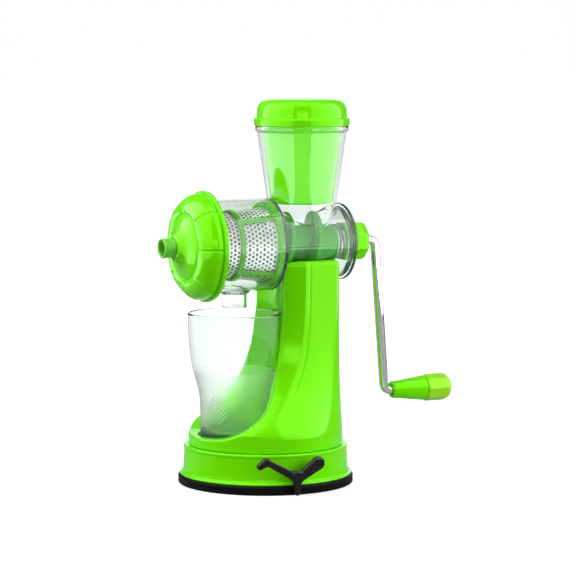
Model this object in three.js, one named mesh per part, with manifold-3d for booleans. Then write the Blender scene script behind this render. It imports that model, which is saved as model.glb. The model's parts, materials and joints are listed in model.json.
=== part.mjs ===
// Hand-cranked juicer with an auger, on a suction base. Millimetres, +Z up.
// Origin: centre of the suction pad's flat underside. +X runs along the crank axis, towards the crank.

import * as THREE from 'three';
import { mergeVertices } from 'three/addons/utils/BufferGeometryUtils.js';
import Module from 'manifold-3d';

const wasm = await Module();
wasm.setup();

// ---- Clearances and facets ----------------------------------------------------------------------

const SEAT_GAP = 0.3; // between pieces that rest on or fit into each other
const TURN_GAP = 0.5; // between pieces that turn or slide against each other
const BASE_ROUND = 48; // facets round the base
const ROUND = 32; // facets round a large turned piece
const SMALL_ROUND = 16; // facets round a small one
const EPS = 1; // how far a cutting tool runs past the face it cuts

// ---- Suction base -------------------------------------------------------------------------------

const PAD_R = 75;
const PAD_H = 8;
const PAD_WEB = 2.6; // thickness of the pad inside its rim
const RING_R = PAD_R - 4.5; // skirt of the base ring
const RING_FOOT_R = PAD_R - 1.5; // lip round the skirt's lower edge
const RING_WALL = 3;
const RING_H = 25.2;
const RING_Z = PAD_H + SEAT_GAP;
const DECK_Z = RING_Z + RING_H;
const DECK_T = 2.7;
const DECK_HOLE_R = PAD_R - 25;
const PLATE_R = RING_R - RING_WALL - TURN_GAP;
const PLATE_Z = PAD_WEB + 3.2;
const PLATE_T = 3;
const PLATE_TOP = PLATE_Z + PLATE_T;

const SCREW_R = 1.5;
const SCREW_HEAD_R = 3.6;
const SCREW_HEAD_H = 2.2;
const SCREW_CIRCLE_R = PAD_R - 18;
const SCREW_BITE = 9; // length of screw inside the stand
const SCREW_ANGLES = [45, 135, 225, 315];
const BOSS_R = 6;

// ---- Suction lever, on a shaft that runs out radially from the pad's centre ---------------------

const LEVER_AZIMUTH = -96.3; // direction of the shaft's outer end, degrees from +X
const PIVOT_Z = RING_Z + 8.2;
const CAM_SHAFT_R = 3;
const CAM_R = 3.5;
const CAM_THROW = 3.1; // sideways offset of the eccentric at rest
const CAM_HALF_L = 6.5;
const LEVER_T = 5.5;
const LEVER_FACE = PAD_R + 1; // the lever's inner face, measured along the shaft
const LEVER_END = LEVER_FACE + LEVER_T;
const LEVER_BOSS_R = 4.4;
const BEARING_IN = 19; // the two bearing blocks start this far from the centre
const BEARING_L = 6;
const BEARING_HALF_W = 7;
const BEARING_TOP = PIVOT_Z + 6;
const STEM_FOOT_R = 14;
const STEM_TRAVEL = 2; // the pad's stem rises or drops this much
const STEM_FOOT_T = 2.4;
const STEM_HALF_L = 5;
const STEM_HALF_W = 10.5;
const EYE_WALL = 3;

// ---- Crank axis and juicing chamber -------------------------------------------------------------

const AXIS_Z = 204;
const TUBE_R = 30;
const TUBE_WALL = 2.4;
const TUBE_BORE_R = TUBE_R - TUBE_WALL;
const TUBE_END_X = 72;
const END_WALL = 6; // closed rear end, with the bush in it
const END_FLANGE_R = TUBE_R + 3;
const END_FLANGE_T = 3;
const CHAMBER_R = TUBE_R + 9.3;
const CHAMBER_WALL = 2.6;
const CHAMBER_BORE_R = CHAMBER_R - CHAMBER_WALL;
const CHAMBER_MOUTH_X = -68;
const CHAMBER_BACK_X = 3.5;
const CHAMBER_FLOOR_X = CHAMBER_BACK_X - CHAMBER_WALL;

const HOPPER_X = 34.75;
const HOPPER_RIM_R = 40;
const HOPPER_RIM_Z = AXIS_Z + TUBE_R + 70;
const HOPPER_TAPER = 0.145; // change of radius per millimetre of height
const HOPPER_WALL = 2.2;
const HOPPER_LIP_T = 0.8;
const HOPPER_LIP_H = 4;

// ---- Tumbler that stands in the well ------------------------------------------------------------

const GLASS_X = -29;
const GLASS_RIM_R = 40;
const GLASS_BASE_R = 29.2;
const GLASS_H = 107.7;
const GLASS_WALL = 2.2;
const GLASS_FLOOR = 6;
const WELL_Z = DECK_Z + 5.5; // floor of the well in the stand
const GLASS_Z = WELL_Z + SEAT_GAP;
const WELL_GAP = 2; // slack round the tumbler

const SPOUT_R = 10.6;
const SPOUT_WALL = 1.8;
const SPOUT_END_Z = GLASS_Z + GLASS_H + 4.5;
const SPOUT_COLLAR_R = SPOUT_R + 1.8;
const SPOUT_COLLAR_H = 11.5;

// ---- Stand --------------------------------------------------------------------------------------

const STAND_BASE_R = RING_R - 4.5;
const STAND_WALL = 3;
const STAND_Z = DECK_Z + SEAT_GAP;
const STAND_TOP_Z = AXIS_Z - 13;
const STAND_HALF_W = TUBE_R + 5;
const STAND_BACK_X = 54.5;
const STAND_FRONT_X = 1.5;
const STAND_CREASE_X = 21.5; // where the flat side turns into the front corner
const BACK_CORNER_R = 5;
const FRONT_CORNER_W = 12;
const FLARE_START_Z = DECK_Z + 11.5;
const FLARE_H = 36;
const DISH_X = -100; // upright axis that the hollow front is turned about
const FOOT_X = [18, 46]; // tongue under the tube, which drops into a socket in the stand
const FOOT_HALF_W = 5;
const FOOT_H = 18;
const SOCKET_WALL = 2.6;

// ---- Strainer -----------------------------------------------------------------------------------

const MESH_BACK_R = TUBE_R + 2.4;
const MESH_TAPER = 0.125;
const MESH_T = 0.6;
const MESH_FRONT_X = -60;
const STRAINER_RIB_T = 2;
const STRAINER_RIB_W = 4.6;
const STRAINER_FLANGE_T = 4.5;
const STRAINER_MID_X = -36.5;
const STRAINER_MID_T = 4;
const STRAINER_FIN_L = 14;

// ---- Auger, shaft and crank ---------------------------------------------------------------------

const AUGER_FRONT_X = -62;
const AUGER_BACK_X = 62;
const AUGER_PITCH = 26;
const AUGER_CORE_BACK_R = TUBE_BORE_R - 12.2;
const AUGER_CORE_FRONT_R = TUBE_BORE_R - 9.6;
const AUGER_TIP_R = TUBE_BORE_R - 0.6;
const AUGER_NOSE_TIP_R = TUBE_BORE_R - 4.6;
const AUGER_TURN_STEP = 24; // degrees of twist in one facet
const FLIGHT_FADE = 8; // length over which a flight rises from the core
const SHAFT_R = 8;
const SHAFT_HEX_R = 7.4;
const SHAFT_FRONT_X = 22;
const SHAFT_HUB_L = 12; // length of shaft inside the crank hub
const SEAL_R = 14;
const SEAL_T = 1.4;
const BUSH_R = 12;
const BUSH_FLANGE_R = 15;
const WASHER_R = 13;
const WASHER_T = 1;
const HUB_R = 17.2;
const HUB_L = 20.4;
const ROD_R = 4;
const ROD_FACETS = 10;
const ROD_STEPS = 44;
const ROD_BEND = 7;
const ARM_L = 132.4;
const ARM_TOP_X = 105;
const ARM_LOW_X = 115;
const GRIP_X = 122;
const GRIP_L = 31.5;
const GRIP_SMALL_R = 7.5;
const GRIP_LARGE_R = 10.9;
const GRIP_SPIGOT_L = 4;
const GRIP_SPIGOT_R = 7.6;
const GRIP_CAP_L = 24.2;
const GRIP_CAP_R = 12.2;
const CLIP_R = 6.8;
const CLIP_T = 1.4;

// ---- Front cap and pulp nozzle ------------------------------------------------------------------

const CAP_BORE_R = CHAMBER_R + TURN_GAP;
const CAP_FLANGE_R = CHAMBER_R + 7.7;
const CAP_BACK_X = CHAMBER_MOUTH_X + 13;
const CAP_FLANGE_T = 3.5;
const CAP_CREST_X = CHAMBER_MOUTH_X - 8.5;
const CAP_NOSE_X = CHAMBER_MOUTH_X - 18;
const CAP_NOSE_R = 10.6;
const GASKET_T = 1.6;
const NOZZLE_R = 8.5;
const NOZZLE_BORE_R = 6.6;
const NOZZLE_OUT = 10.5; // length outside the cap
const NOZZLE_COLLAR_R = 10.6;
const NOZZLE_COLLAR_T = 2.5;
const ORING_T = 1.8;

// ---- Pusher -------------------------------------------------------------------------------------

const PUSHER_BOTTOM_Z = AXIS_Z + TUBE_R + 4;
const PUSHER_TAPER = 0.104;
const PUSHER_WALL = 2;
const PUSHER_FLANGE_T = 2;
const LID_R = HOPPER_RIM_R + 1;
const LID_BAND_H = 6.7;
const LID_DOME_R = HOPPER_RIM_R - 1.2;
const LID_H = 23.5;
const LID_SHOULDER_R = 9;
const LID_WALL = 2.2;

// ---- Materials ----------------------------------------------------------------------------------

const material = (color, roughness, metalness = 0) =>
  new THREE.MeshStandardMaterial({ color, roughness, metalness });
const GREEN_PLASTIC = material(0x76e80f, 0.22);
const DULL_GREEN_PLASTIC = material(0x5fb524, 0.35);
const PALE_GREEN_PLASTIC = material(0x9be85a, 0.3);
const CLEAR_PLASTIC = material(0xe4f2ea, 0.08);
const TUMBLER_PLASTIC = material(0xe8f4ee, 0.12);
const BLACK_RUBBER = material(0x0c0c0c, 0.7);
const BLACK_PLASTIC = material(0x141414, 0.4);
const GREY_PLASTIC = material(0x8d9290, 0.5);
const WHITE_RUBBER = material(0xe6e6e0, 0.6);
const STEEL = material(0xc9ccce, 0.3, 1);
const CHROME = material(0xdfe2e4, 0.08, 1);

// ---- Solid helpers ------------------------------------------------------------------------------

const radians = THREE.MathUtils.degToRad;

function solid(geometry) {
  const bare = new THREE.BufferGeometry();
  bare.setAttribute('position', geometry.getAttribute('position').clone());
  if (geometry.index) bare.setIndex(geometry.index.clone());
  const merged = mergeVertices(bare, 1e-4);
  const corners = merged.index.array;
  const triVerts = [];
  for (let i = 0; i < corners.length; i += 3) {
    const [a, b, c] = corners.subarray(i, i + 3);
    if (a !== b && b !== c && c !== a) triVerts.push(a, b, c);
  }
  const vertProperties = merged.getAttribute('position').array;
  const mesh = new wasm.Mesh({ numProp: 3, vertProperties, triVerts: new Uint32Array(triVerts) });
  return new wasm.Manifold(mesh);
}

// Turns an outline of [radius, height] pairs, listed anticlockwise, about the Y axis.
function lathe(outline, segments) {
  const points = outline.map(([r, h]) => new THREE.Vector2(r, h));
  if (points[0].x > 0 || points.at(-1).x > 0) points.push(points[0].clone());
  return new THREE.LatheGeometry(points, segments);
}

const uprightTurned = (x, outline, segments = ROUND) =>
  solid(lathe(outline, segments).rotateX(Math.PI / 2).translate(x, 0, 0));

const axisTurned = (outline, segments = ROUND, z = AXIS_Z) =>
  solid(lathe(outline, segments).rotateZ(-Math.PI / 2).translate(0, 0, z));

const disc = (r, low, high) => [[0, low], [r, low], [r, high], [0, high]];
const ring = (inner, outer, low, high) => [[inner, low], [outer, low], [outer, high], [inner, high]];

function block([x0, x1], [y0, y1], [z0, z1]) {
  const box = new THREE.BoxGeometry(x1 - x0, y1 - y0, z1 - z0);
  return solid(box.translate((x0 + x1) / 2, (y0 + y1) / 2, (z0 + z1) / 2));
}

// Joins closed rings of points, each ring an array of Vector3, into one solid with flat ends.
function loft(rings) {
  const count = rings[0].length;
  const corners = rings[0].map((_, i) => new THREE.Vector2().set(
    Math.cos((2 * Math.PI * i) / count),
    Math.sin((2 * Math.PI * i) / count),
  ));
  const levels = rings.length - 1;
  const geometry = new THREE.ExtrudeGeometry(new THREE.Shape(corners), {
    depth: levels,
    steps: levels,
    bevelEnabled: false,
  });
  const position = geometry.getAttribute('position');
  for (let i = 0; i < position.count; i += 1) {
    const turn = Math.atan2(position.getY(i), position.getX(i)) / (2 * Math.PI);
    const corner = (Math.round(turn * count) + count) % count;
    const point = rings[Math.round(position.getZ(i))][corner];
    position.setXYZ(i, point.x, point.y, point.z);
  }
  return solid(geometry);
}

const union = (...solids) => solids.reduce((whole, piece) => whole.add(piece));

const turnedAbout = (body, degrees) => body.rotate([0, 0, degrees]);

const rolled = (body, degrees) =>
  body.translate([0, 0, -AXIS_Z]).rotate([degrees, 0, 0]).translate([0, 0, AXIS_Z]);

const juicer = new THREE.Group();

function addPiece(name, body, finish) {
  const mesh = body.getMesh();
  const geometry = new THREE.BufferGeometry();
  geometry.setAttribute('position', new THREE.BufferAttribute(new Float32Array(mesh.vertProperties), 3));
  geometry.setIndex(new THREE.BufferAttribute(new Uint32Array(mesh.triVerts), 1));
  geometry.computeVertexNormals();
  const piece = new THREE.Mesh(geometry, finish);
  piece.name = name;
  juicer.add(piece);
}

// ---- Suction base -------------------------------------------------------------------------------

function suctionPad() {
  const rimIn = RING_R - RING_WALL;
  return uprightTurned(0, [
    [0, 0], [PAD_R - 0.8, 0], [PAD_R, 0.8], [PAD_R, PAD_H - 0.8], [PAD_R - 0.8, PAD_H],
    [rimIn, PAD_H], [rimIn, PAD_WEB], [0, PAD_WEB],
  ], BASE_ROUND);
}

const screwSpots = SCREW_ANGLES.map((angle) => [
  SCREW_CIRCLE_R * Math.cos(radians(angle)),
  SCREW_CIRCLE_R * Math.sin(radians(angle)),
]);

const atScrews = (outline) => union(...screwSpots.map(([x, y]) =>
  uprightTurned(0, outline, SMALL_ROUND / 2).translate([x, y, 0])));

const shaftHole = (r, from, to) => {
  const hole = axisTurned(disc(r, from, to), SMALL_ROUND, PIVOT_Z);
  return turnedAbout(hole, LEVER_AZIMUTH);
};

function backingPlate() {
  const stemHole = uprightTurned(0, disc(STEM_FOOT_R + 3, PLATE_Z - EPS, PLATE_TOP + EPS), ROUND);
  const screwHoles = atScrews(disc(SCREW_R + TURN_GAP, PLATE_Z - EPS, PLATE_TOP + EPS));
  const blank = uprightTurned(0, disc(PLATE_R, PLATE_Z, PLATE_TOP), BASE_ROUND);
  const plate = blank.subtract(stemHole).subtract(screwHoles);
  const slotHalfW = CAM_SHAFT_R + TURN_GAP;
  const bearings = [-BEARING_IN - BEARING_L, BEARING_IN].map((start) => {
    const along = [start, start + BEARING_L];
    const pedestal = block(along, [-BEARING_HALF_W, BEARING_HALF_W], [PLATE_TOP - EPS, BEARING_TOP]);
    const slotAlong = [start - EPS, start + BEARING_L + EPS];
    const slot = block(slotAlong, [-slotHalfW, slotHalfW], [PIVOT_Z, BEARING_TOP + EPS]);
    return pedestal.subtract(slot);
  });
  const pedestals = turnedAbout(union(...bearings), LEVER_AZIMUTH);
  const reach = BEARING_IN + BEARING_L + EPS;
  return plate.add(pedestals).subtract(shaftHole(slotHalfW, -reach, reach));
}

// Closes the open top of a bearing block over the cam shaft.
function shaftClip(start) {
  const tongueHalfW = CAM_SHAFT_R + TURN_GAP - SEAT_GAP;
  const along = [start + SEAT_GAP, start + BEARING_L - SEAT_GAP];
  const bridge = block(along, [-BEARING_HALF_W, BEARING_HALF_W], [BEARING_TOP + SEAT_GAP, BEARING_TOP + 2]);
  const tongueBottom = PIVOT_Z + CAM_SHAFT_R + TURN_GAP;
  const tongue = block(along, [-tongueHalfW, tongueHalfW], [tongueBottom, BEARING_TOP + 1]);
  return turnedAbout(bridge.add(tongue), LEVER_AZIMUTH);
}

function baseRing() {
  const skirt = uprightTurned(0, [
    [RING_R - RING_WALL, RING_Z], [RING_FOOT_R, RING_Z], [RING_FOOT_R, RING_Z + 0.9], [RING_R, RING_Z + 1.6],
    [RING_R - 1, DECK_Z - 2.6], [RING_R - 0.6, DECK_Z - 1.6], [RING_R - 1.4, DECK_Z],
    [DECK_HOLE_R, DECK_Z], [DECK_HOLE_R, DECK_Z - DECK_T], [RING_R - RING_WALL - 1, DECK_Z - DECK_T],
  ], BASE_ROUND);
  const posts = atScrews(disc(BOSS_R, PLATE_TOP + SEAT_GAP, DECK_Z - 1));
  const screwHoles = atScrews(disc(SCREW_R + TURN_GAP, RING_Z - EPS, DECK_Z + EPS));
  const leverHole = shaftHole(CAM_SHAFT_R + TURN_GAP, PAD_R / 2, PAD_R + EPS);
  return skirt.add(posts).subtract(screwHoles).subtract(leverHole);
}

function baseScrew([x, y]) {
  const headTop = PLATE_Z - SEAT_GAP;
  return uprightTurned(0, [
    [0, headTop - SCREW_HEAD_H], [SCREW_HEAD_R - 0.8, headTop - SCREW_HEAD_H], [SCREW_HEAD_R, headTop - 1.2],
    [SCREW_HEAD_R, headTop], [SCREW_R, headTop],
    [SCREW_R, STAND_Z + SCREW_BITE - 1.5], [0, STAND_Z + SCREW_BITE],
  ], SMALL_ROUND / 2).translate([x, y, 0]);
}

// ---- Suction lever and the stem it lifts --------------------------------------------------------

function camShaft() {
  const journals = [
    axisTurned(disc(CAM_SHAFT_R, -BEARING_IN - BEARING_L, -CAM_HALF_L + 0.5), SMALL_ROUND, PIVOT_Z),
    axisTurned(disc(CAM_SHAFT_R, CAM_HALF_L - 0.5, LEVER_END - 1.5), SMALL_ROUND, PIVOT_Z),
  ];
  const disk = axisTurned(disc(CAM_R, -CAM_HALF_L, CAM_HALF_L), SMALL_ROUND, PIVOT_Z);
  const cam = disk.translate([0, -CAM_THROW, 0]);
  return turnedAbout(union(...journals, cam), LEVER_AZIMUTH);
}

// An outline in the lever's own plane (sideways, up from the pivot), as a plate across the shaft.
function leverPlate(points) {
  const shape = new THREE.Shape(points.map(([y, z]) => new THREE.Vector2(y, z)));
  const plate = new THREE.ExtrudeGeometry(shape, { depth: LEVER_T, bevelEnabled: false });
  return solid(plate.rotateX(Math.PI / 2).rotateZ(Math.PI / 2).translate(LEVER_FACE, 0, PIVOT_Z));
}

function vacuumLever() {
  const fingerArm = [[-2, -6], [3.5, 4.5], [-20.5, 17.6], [-29, 16.6], [-29, 9.8], [-24, 9.6]];
  const knob = [[-35.6, 13.4], [-34.4, 9.4], [-28.5, 8.6], [-25.5, 11], [-26.5, 15.6], [-31, 16.4]];
  const paddle = [
    [-1, -5.5], [19, 3.6], [23.6, 6.8], [24.6, 11],
    [22.6, 15], [18.4, 16.6], [13, 16.4], [-3.5, 8.5],
  ];
  const toeLength = PIVOT_Z - SEAT_GAP;
  const toe = [[-3.4, 0], [-1.6, -toeLength + 1.5], [0.4, -toeLength], [3.6, -toeLength + 0.8], [4.4, 0]];
  const arms = union(...[fingerArm, knob, paddle, toe].map((points) => leverPlate(points)));
  const boss = axisTurned(disc(LEVER_BOSS_R, RING_R + 1, LEVER_END), SMALL_ROUND, PIVOT_Z);
  const bore = axisTurned(disc(CAM_SHAFT_R + SEAT_GAP, 0, LEVER_END - 1), SMALL_ROUND, PIVOT_Z);
  return turnedAbout(arms.add(boss).subtract(bore), LEVER_AZIMUTH);
}

function padStem() {
  const footZ = PAD_WEB + STEM_TRAVEL + 0.4;
  const foot = uprightTurned(0, disc(STEM_FOOT_R, footZ, footZ + STEM_FOOT_T));
  const eyeHalfH = CAM_R + 0.35;
  const eyeTop = PIVOT_Z + eyeHalfH + EYE_WALL;
  const eye = block([-STEM_HALF_L, STEM_HALF_L], [-STEM_HALF_W, STEM_HALF_W], [footZ + 1, eyeTop]);
  const slotSides = [-CAM_THROW - CAM_R - TURN_GAP, -CAM_THROW + CAM_R + 1.5];
  const along = [-STEM_HALF_L - EPS, STEM_HALF_L + EPS];
  const slot = block(along, slotSides, [PIVOT_Z - eyeHalfH, PIVOT_Z + eyeHalfH]);
  return foot.add(turnedAbout(eye.subtract(slot), LEVER_AZIMUTH));
}

// ---- Stand --------------------------------------------------------------------------------------

// The stand's section goes from a circle at its foot to a rounded rectangle at its top. Each entry pairs
// a point of the rectangle with the angle of the circle point that it grows out of; the last number
// says how much it follows the front flare instead of the back one.
function standOutline(inset) {
  const side = STAND_HALF_W - inset;
  const back = STAND_BACK_X - inset;
  const front = STAND_FRONT_X + inset;
  const corner = BACK_CORNER_R - inset / 2;
  const frontDepth = STAND_CREASE_X - front;
  const half = [];
  const stretch = (count, point) => {
    for (let i = 0; i < count; i += 1) half.push(point(i / count));
  };
  stretch(2, (t) => [back, (side - corner) * t, 20 * t, 0]);
  stretch(4, (t) => [
    back - corner + corner * Math.cos((t * Math.PI) / 2),
    side - corner + corner * Math.sin((t * Math.PI) / 2),
    20 + 40 * t, 0]);
  stretch(4, (t) => [back - corner + (STAND_CREASE_X - back + corner) * t, side, 60 + 60 * t, t]);
  stretch(6, (t) => [
    STAND_CREASE_X - frontDepth * Math.sin((t * Math.PI) / 2),
    side - FRONT_CORNER_W + FRONT_CORNER_W * Math.cos((t * Math.PI) / 2),
    120 + 38 * t, 1]);
  stretch(2, (t) => [front, (side - FRONT_CORNER_W) * (1 - t), 158 + 22 * t, 1]);
  half.push([front, 0, 180, 1]);
  const mirrored = half.slice(1, -1).reverse().map(([x, y, angle, follow]) => [x, -y, -angle, follow]);
  return [...half, ...mirrored];
}

const flare = (z, start, reach, power) => Math.exp(-((Math.max(z - start, 0) / reach) ** power));

function standLoft(inset, bottom, top) {
  const outline = standOutline(inset);
  const levels = 10;
  const rings = [];
  for (let i = 0; i <= levels; i += 1) {
    const z = bottom + (top - bottom) * (i / levels) ** 1.4;
    const backFlare = flare(z, FLARE_START_Z, FLARE_H, 1.15);
    const frontFlare = flare(z, FLARE_START_Z + 3, FLARE_H + 2, 1.4);
    rings.push(outline.map(([x, y, angle, follow]) => {
      const share = THREE.MathUtils.lerp(backFlare, frontFlare, follow);
      const r = STAND_BASE_R - inset;
      return new THREE.Vector3(
        THREE.MathUtils.lerp(x, r * Math.cos(radians(angle)), share),
        THREE.MathUtils.lerp(y, r * Math.sin(radians(angle)), share),
        z,
      );
    }));
  }
  return loft(rings);
}

// The hollow front: a wide curve that sweeps from the well's low front lip up into the column.
function frontDish(grow) {
  const lip = WELL_Z + 3.2;
  const curve = new THREE.SplineCurve([
    [34, lip], [58, lip + 2.6], [77, lip + 11], [91, lip + 24], [98.5, lip + 48], [103.5, lip + 80],
    [108, STAND_TOP_Z + 6],
  ].map(([r, z]) => new THREE.Vector2(r, z)));
  const sweep = curve.getPoints(8).map((point) => [point.x + grow, point.y - grow]);
  const top = STAND_TOP_Z + 40;
  return uprightTurned(DISH_X, [[0, lip - grow], ...sweep, [sweep.at(-1)[0], top], [0, top]], 2 * ROUND);
}

// Radii of the tumbler's outside, bottom to rim.
function glassSide(grow) {
  const swell = GLASS_RIM_R - GLASS_BASE_R;
  const curve = new THREE.SplineCurve([
    [0.014, 0], [0.2, 0.01], [0.35, 0.1], [0.46, 0.36], [0.6, 0.7], [0.76, 0.9], [1, 1],
  ].map(([height, share]) => new THREE.Vector2(GLASS_BASE_R + swell * share, GLASS_Z + GLASS_H * height)));
  return curve.getPoints(8).map((point) => [point.x + grow, point.y]);
}

function well(grow) {
  const side = glassSide(WELL_GAP + grow);
  const top = SPOUT_END_Z + 20;
  return uprightTurned(GLASS_X, [
    [0, WELL_Z - grow], [GLASS_BASE_R + WELL_GAP + grow, WELL_Z - grow], ...side.slice(1),
    [side.at(-1)[0], top], [0, top],
  ]);
}

const cradle = (grow) => union(
  axisTurned(disc(TUBE_R + TURN_GAP + grow, STAND_FRONT_X - 60, TUBE_END_X + 20)),
  axisTurned(disc(CHAMBER_R + 1 + grow, STAND_FRONT_X - 60, CHAMBER_BACK_X + 0.8 + grow)),
);

function standColumn() {
  const hollows = (grow) => union(frontDish(grow), well(grow), cradle(grow));
  const outside = standLoft(0, STAND_Z, STAND_TOP_Z).subtract(hollows(0));
  const inside = standLoft(STAND_WALL, STAND_Z - EPS, STAND_TOP_Z - STAND_WALL).subtract(hollows(STAND_WALL));
  const footTop = AXIS_Z - TUBE_R;
  const slotX = [FOOT_X[0] - TURN_GAP, FOOT_X[1] + TURN_GAP];
  const slotHalfW = FOOT_HALF_W + TURN_GAP;
  const slotZ = [footTop - FOOT_H - 2, footTop + 5];
  const socket = block(
    [slotX[0] - SOCKET_WALL, slotX[1] + SOCKET_WALL],
    [-slotHalfW - SOCKET_WALL, slotHalfW + SOCKET_WALL],
    slotZ,
  );
  const slot = block(slotX, [-slotHalfW, slotHalfW], [slotZ[0] - EPS, slotZ[1]]);
  const posts = atScrews(disc(BOSS_R, STAND_Z, STAND_Z + SCREW_BITE + 3));
  const bosses = posts.intersect(standLoft(1, STAND_Z, STAND_TOP_Z));
  const screwHoles = atScrews(disc(SCREW_R + SEAT_GAP, STAND_Z - EPS, STAND_Z + SCREW_BITE + 1));
  const shell = union(outside.subtract(inside), socket.intersect(outside), bosses);
  return shell.subtract(slot).subtract(screwHoles);
}

function juiceGlass() {
  const outside = glassSide(0);
  const inside = glassSide(-GLASS_WALL).filter(([, z]) => z > GLASS_Z + GLASS_FLOOR + 2).reverse();
  const rimZ = GLASS_Z + GLASS_H;
  return uprightTurned(GLASS_X, [
    [0, GLASS_Z], [GLASS_BASE_R - 1.5, GLASS_Z], ...outside.slice(0, -1), [GLASS_RIM_R, rimZ - 0.6],
    [GLASS_RIM_R - 0.7, rimZ], [GLASS_RIM_R - GLASS_WALL + 0.5, rimZ], ...inside,
    [GLASS_BASE_R - GLASS_WALL - 2.5, GLASS_Z + GLASS_FLOOR], [0, GLASS_Z + GLASS_FLOOR],
  ]);
}

// ---- Clear housing ------------------------------------------------------------------------------

const hopperRadius = (z) => HOPPER_RIM_R - HOPPER_LIP_T - (HOPPER_RIM_Z - z) * HOPPER_TAPER;

function juicerHousing() {
  const lipZ = HOPPER_RIM_Z - HOPPER_LIP_H;
  const throatZ = AXIS_Z + 4;
  const spoutTop = AXIS_Z - CHAMBER_R + 8;
  const footTop = AXIS_Z - TUBE_R;
  const outside = union(
    axisTurned(disc(CHAMBER_R, CHAMBER_MOUTH_X, CHAMBER_BACK_X)),
    axisTurned(disc(TUBE_R, CHAMBER_BACK_X - EPS, TUBE_END_X - EPS)),
    axisTurned(disc(END_FLANGE_R, TUBE_END_X - END_FLANGE_T, TUBE_END_X)),
    uprightTurned(HOPPER_X, [
      [0, throatZ], [hopperRadius(throatZ), throatZ], [hopperRadius(lipZ), lipZ], [HOPPER_RIM_R, lipZ + 0.8],
      [HOPPER_RIM_R, HOPPER_RIM_Z], [0, HOPPER_RIM_Z],
    ]),
    uprightTurned(GLASS_X, [
      [0, SPOUT_END_Z], [SPOUT_R, SPOUT_END_Z], [SPOUT_R, SPOUT_END_Z + SPOUT_COLLAR_H],
      [SPOUT_COLLAR_R, SPOUT_END_Z + SPOUT_COLLAR_H + 1], [SPOUT_COLLAR_R, spoutTop], [0, spoutTop],
    ], SMALL_ROUND),
    block(FOOT_X, [-FOOT_HALF_W, FOOT_HALF_W], [footTop - FOOT_H, footTop + 1]),
  );
  const inside = union(
    axisTurned(disc(CHAMBER_BORE_R, CHAMBER_MOUTH_X - EPS, CHAMBER_FLOOR_X)),
    axisTurned(disc(TUBE_BORE_R, CHAMBER_FLOOR_X - EPS, TUBE_END_X - END_WALL)),
    axisTurned(disc(BUSH_R + SEAT_GAP, 0, TUBE_END_X + EPS), SMALL_ROUND),
    uprightTurned(HOPPER_X, [
      [0, throatZ], [hopperRadius(throatZ) - HOPPER_WALL, throatZ],
      [hopperRadius(HOPPER_RIM_Z + EPS) - HOPPER_WALL, HOPPER_RIM_Z + EPS], [0, HOPPER_RIM_Z + EPS],
    ]),
    uprightTurned(GLASS_X, disc(SPOUT_R - SPOUT_WALL, SPOUT_END_Z - EPS, spoutTop), SMALL_ROUND),
  );
  return outside.subtract(inside);
}

// ---- Strainer -----------------------------------------------------------------------------------

const meshRadius = (x) => MESH_BACK_R + MESH_TAPER * x;
const meshBackX = CHAMBER_FLOOR_X - TURN_GAP - SEAT_GAP;

function strainerMesh() {
  return axisTurned([
    [meshRadius(MESH_FRONT_X) - MESH_T, MESH_FRONT_X], [meshRadius(MESH_FRONT_X), MESH_FRONT_X],
    [meshRadius(meshBackX), meshBackX], [meshRadius(meshBackX) - MESH_T, meshBackX],
  ]);
}

function strainerFrame() {
  const backX = CHAMBER_FLOOR_X - TURN_GAP;
  const flangeX = backX - STRAINER_FLANGE_T;
  const midEnd = STRAINER_MID_X + STRAINER_MID_T;
  const overMesh = (x, rise) => [meshRadius(x) + SEAT_GAP + rise, x];
  const flangeR = CHAMBER_BORE_R - SEAT_GAP;
  const flange = axisTurned([overMesh(flangeX, 0), [flangeR, flangeX], [flangeR, backX], overMesh(backX, 0)]);
  const midRing = axisTurned([
    overMesh(STRAINER_MID_X, 0), overMesh(STRAINER_MID_X, STRAINER_RIB_T),
    overMesh(midEnd, STRAINER_RIB_T), overMesh(midEnd, 0),
  ]);
  const ribSleeve = axisTurned([
    overMesh(midEnd - 2, 0.2), overMesh(midEnd - 2, STRAINER_RIB_T - 0.2),
    overMesh(flangeX + 2, STRAINER_RIB_T - 0.2), overMesh(flangeX + 2, 0.2),
  ]);
  const finSleeve = axisTurned([
    overMesh(flangeX - STRAINER_FIN_L, 1), overMesh(flangeX - STRAINER_FIN_L, STRAINER_RIB_T + 0.2),
    [flangeR - 0.6, flangeX - 1], [flangeR - 0.6, flangeX + 2], overMesh(flangeX + 2, 1),
  ]);
  const length = [STRAINER_MID_X - EPS, backX + EPS];
  const quarterBars = (halfW) => union(...[45, 135].map((angle) =>
    rolled(block(length, [-halfW, halfW], [AXIS_Z - CHAMBER_R, AXIS_Z + CHAMBER_R]), angle)));
  const ribs = rolled(ribSleeve, 180 / ROUND).intersect(quarterBars(STRAINER_RIB_W / 2));
  const fins = finSleeve.intersect(quarterBars(STRAINER_RIB_W / 4));
  return union(flange, midRing, ribs, fins);
}

// ---- Auger and shaft ----------------------------------------------------------------------------

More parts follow.
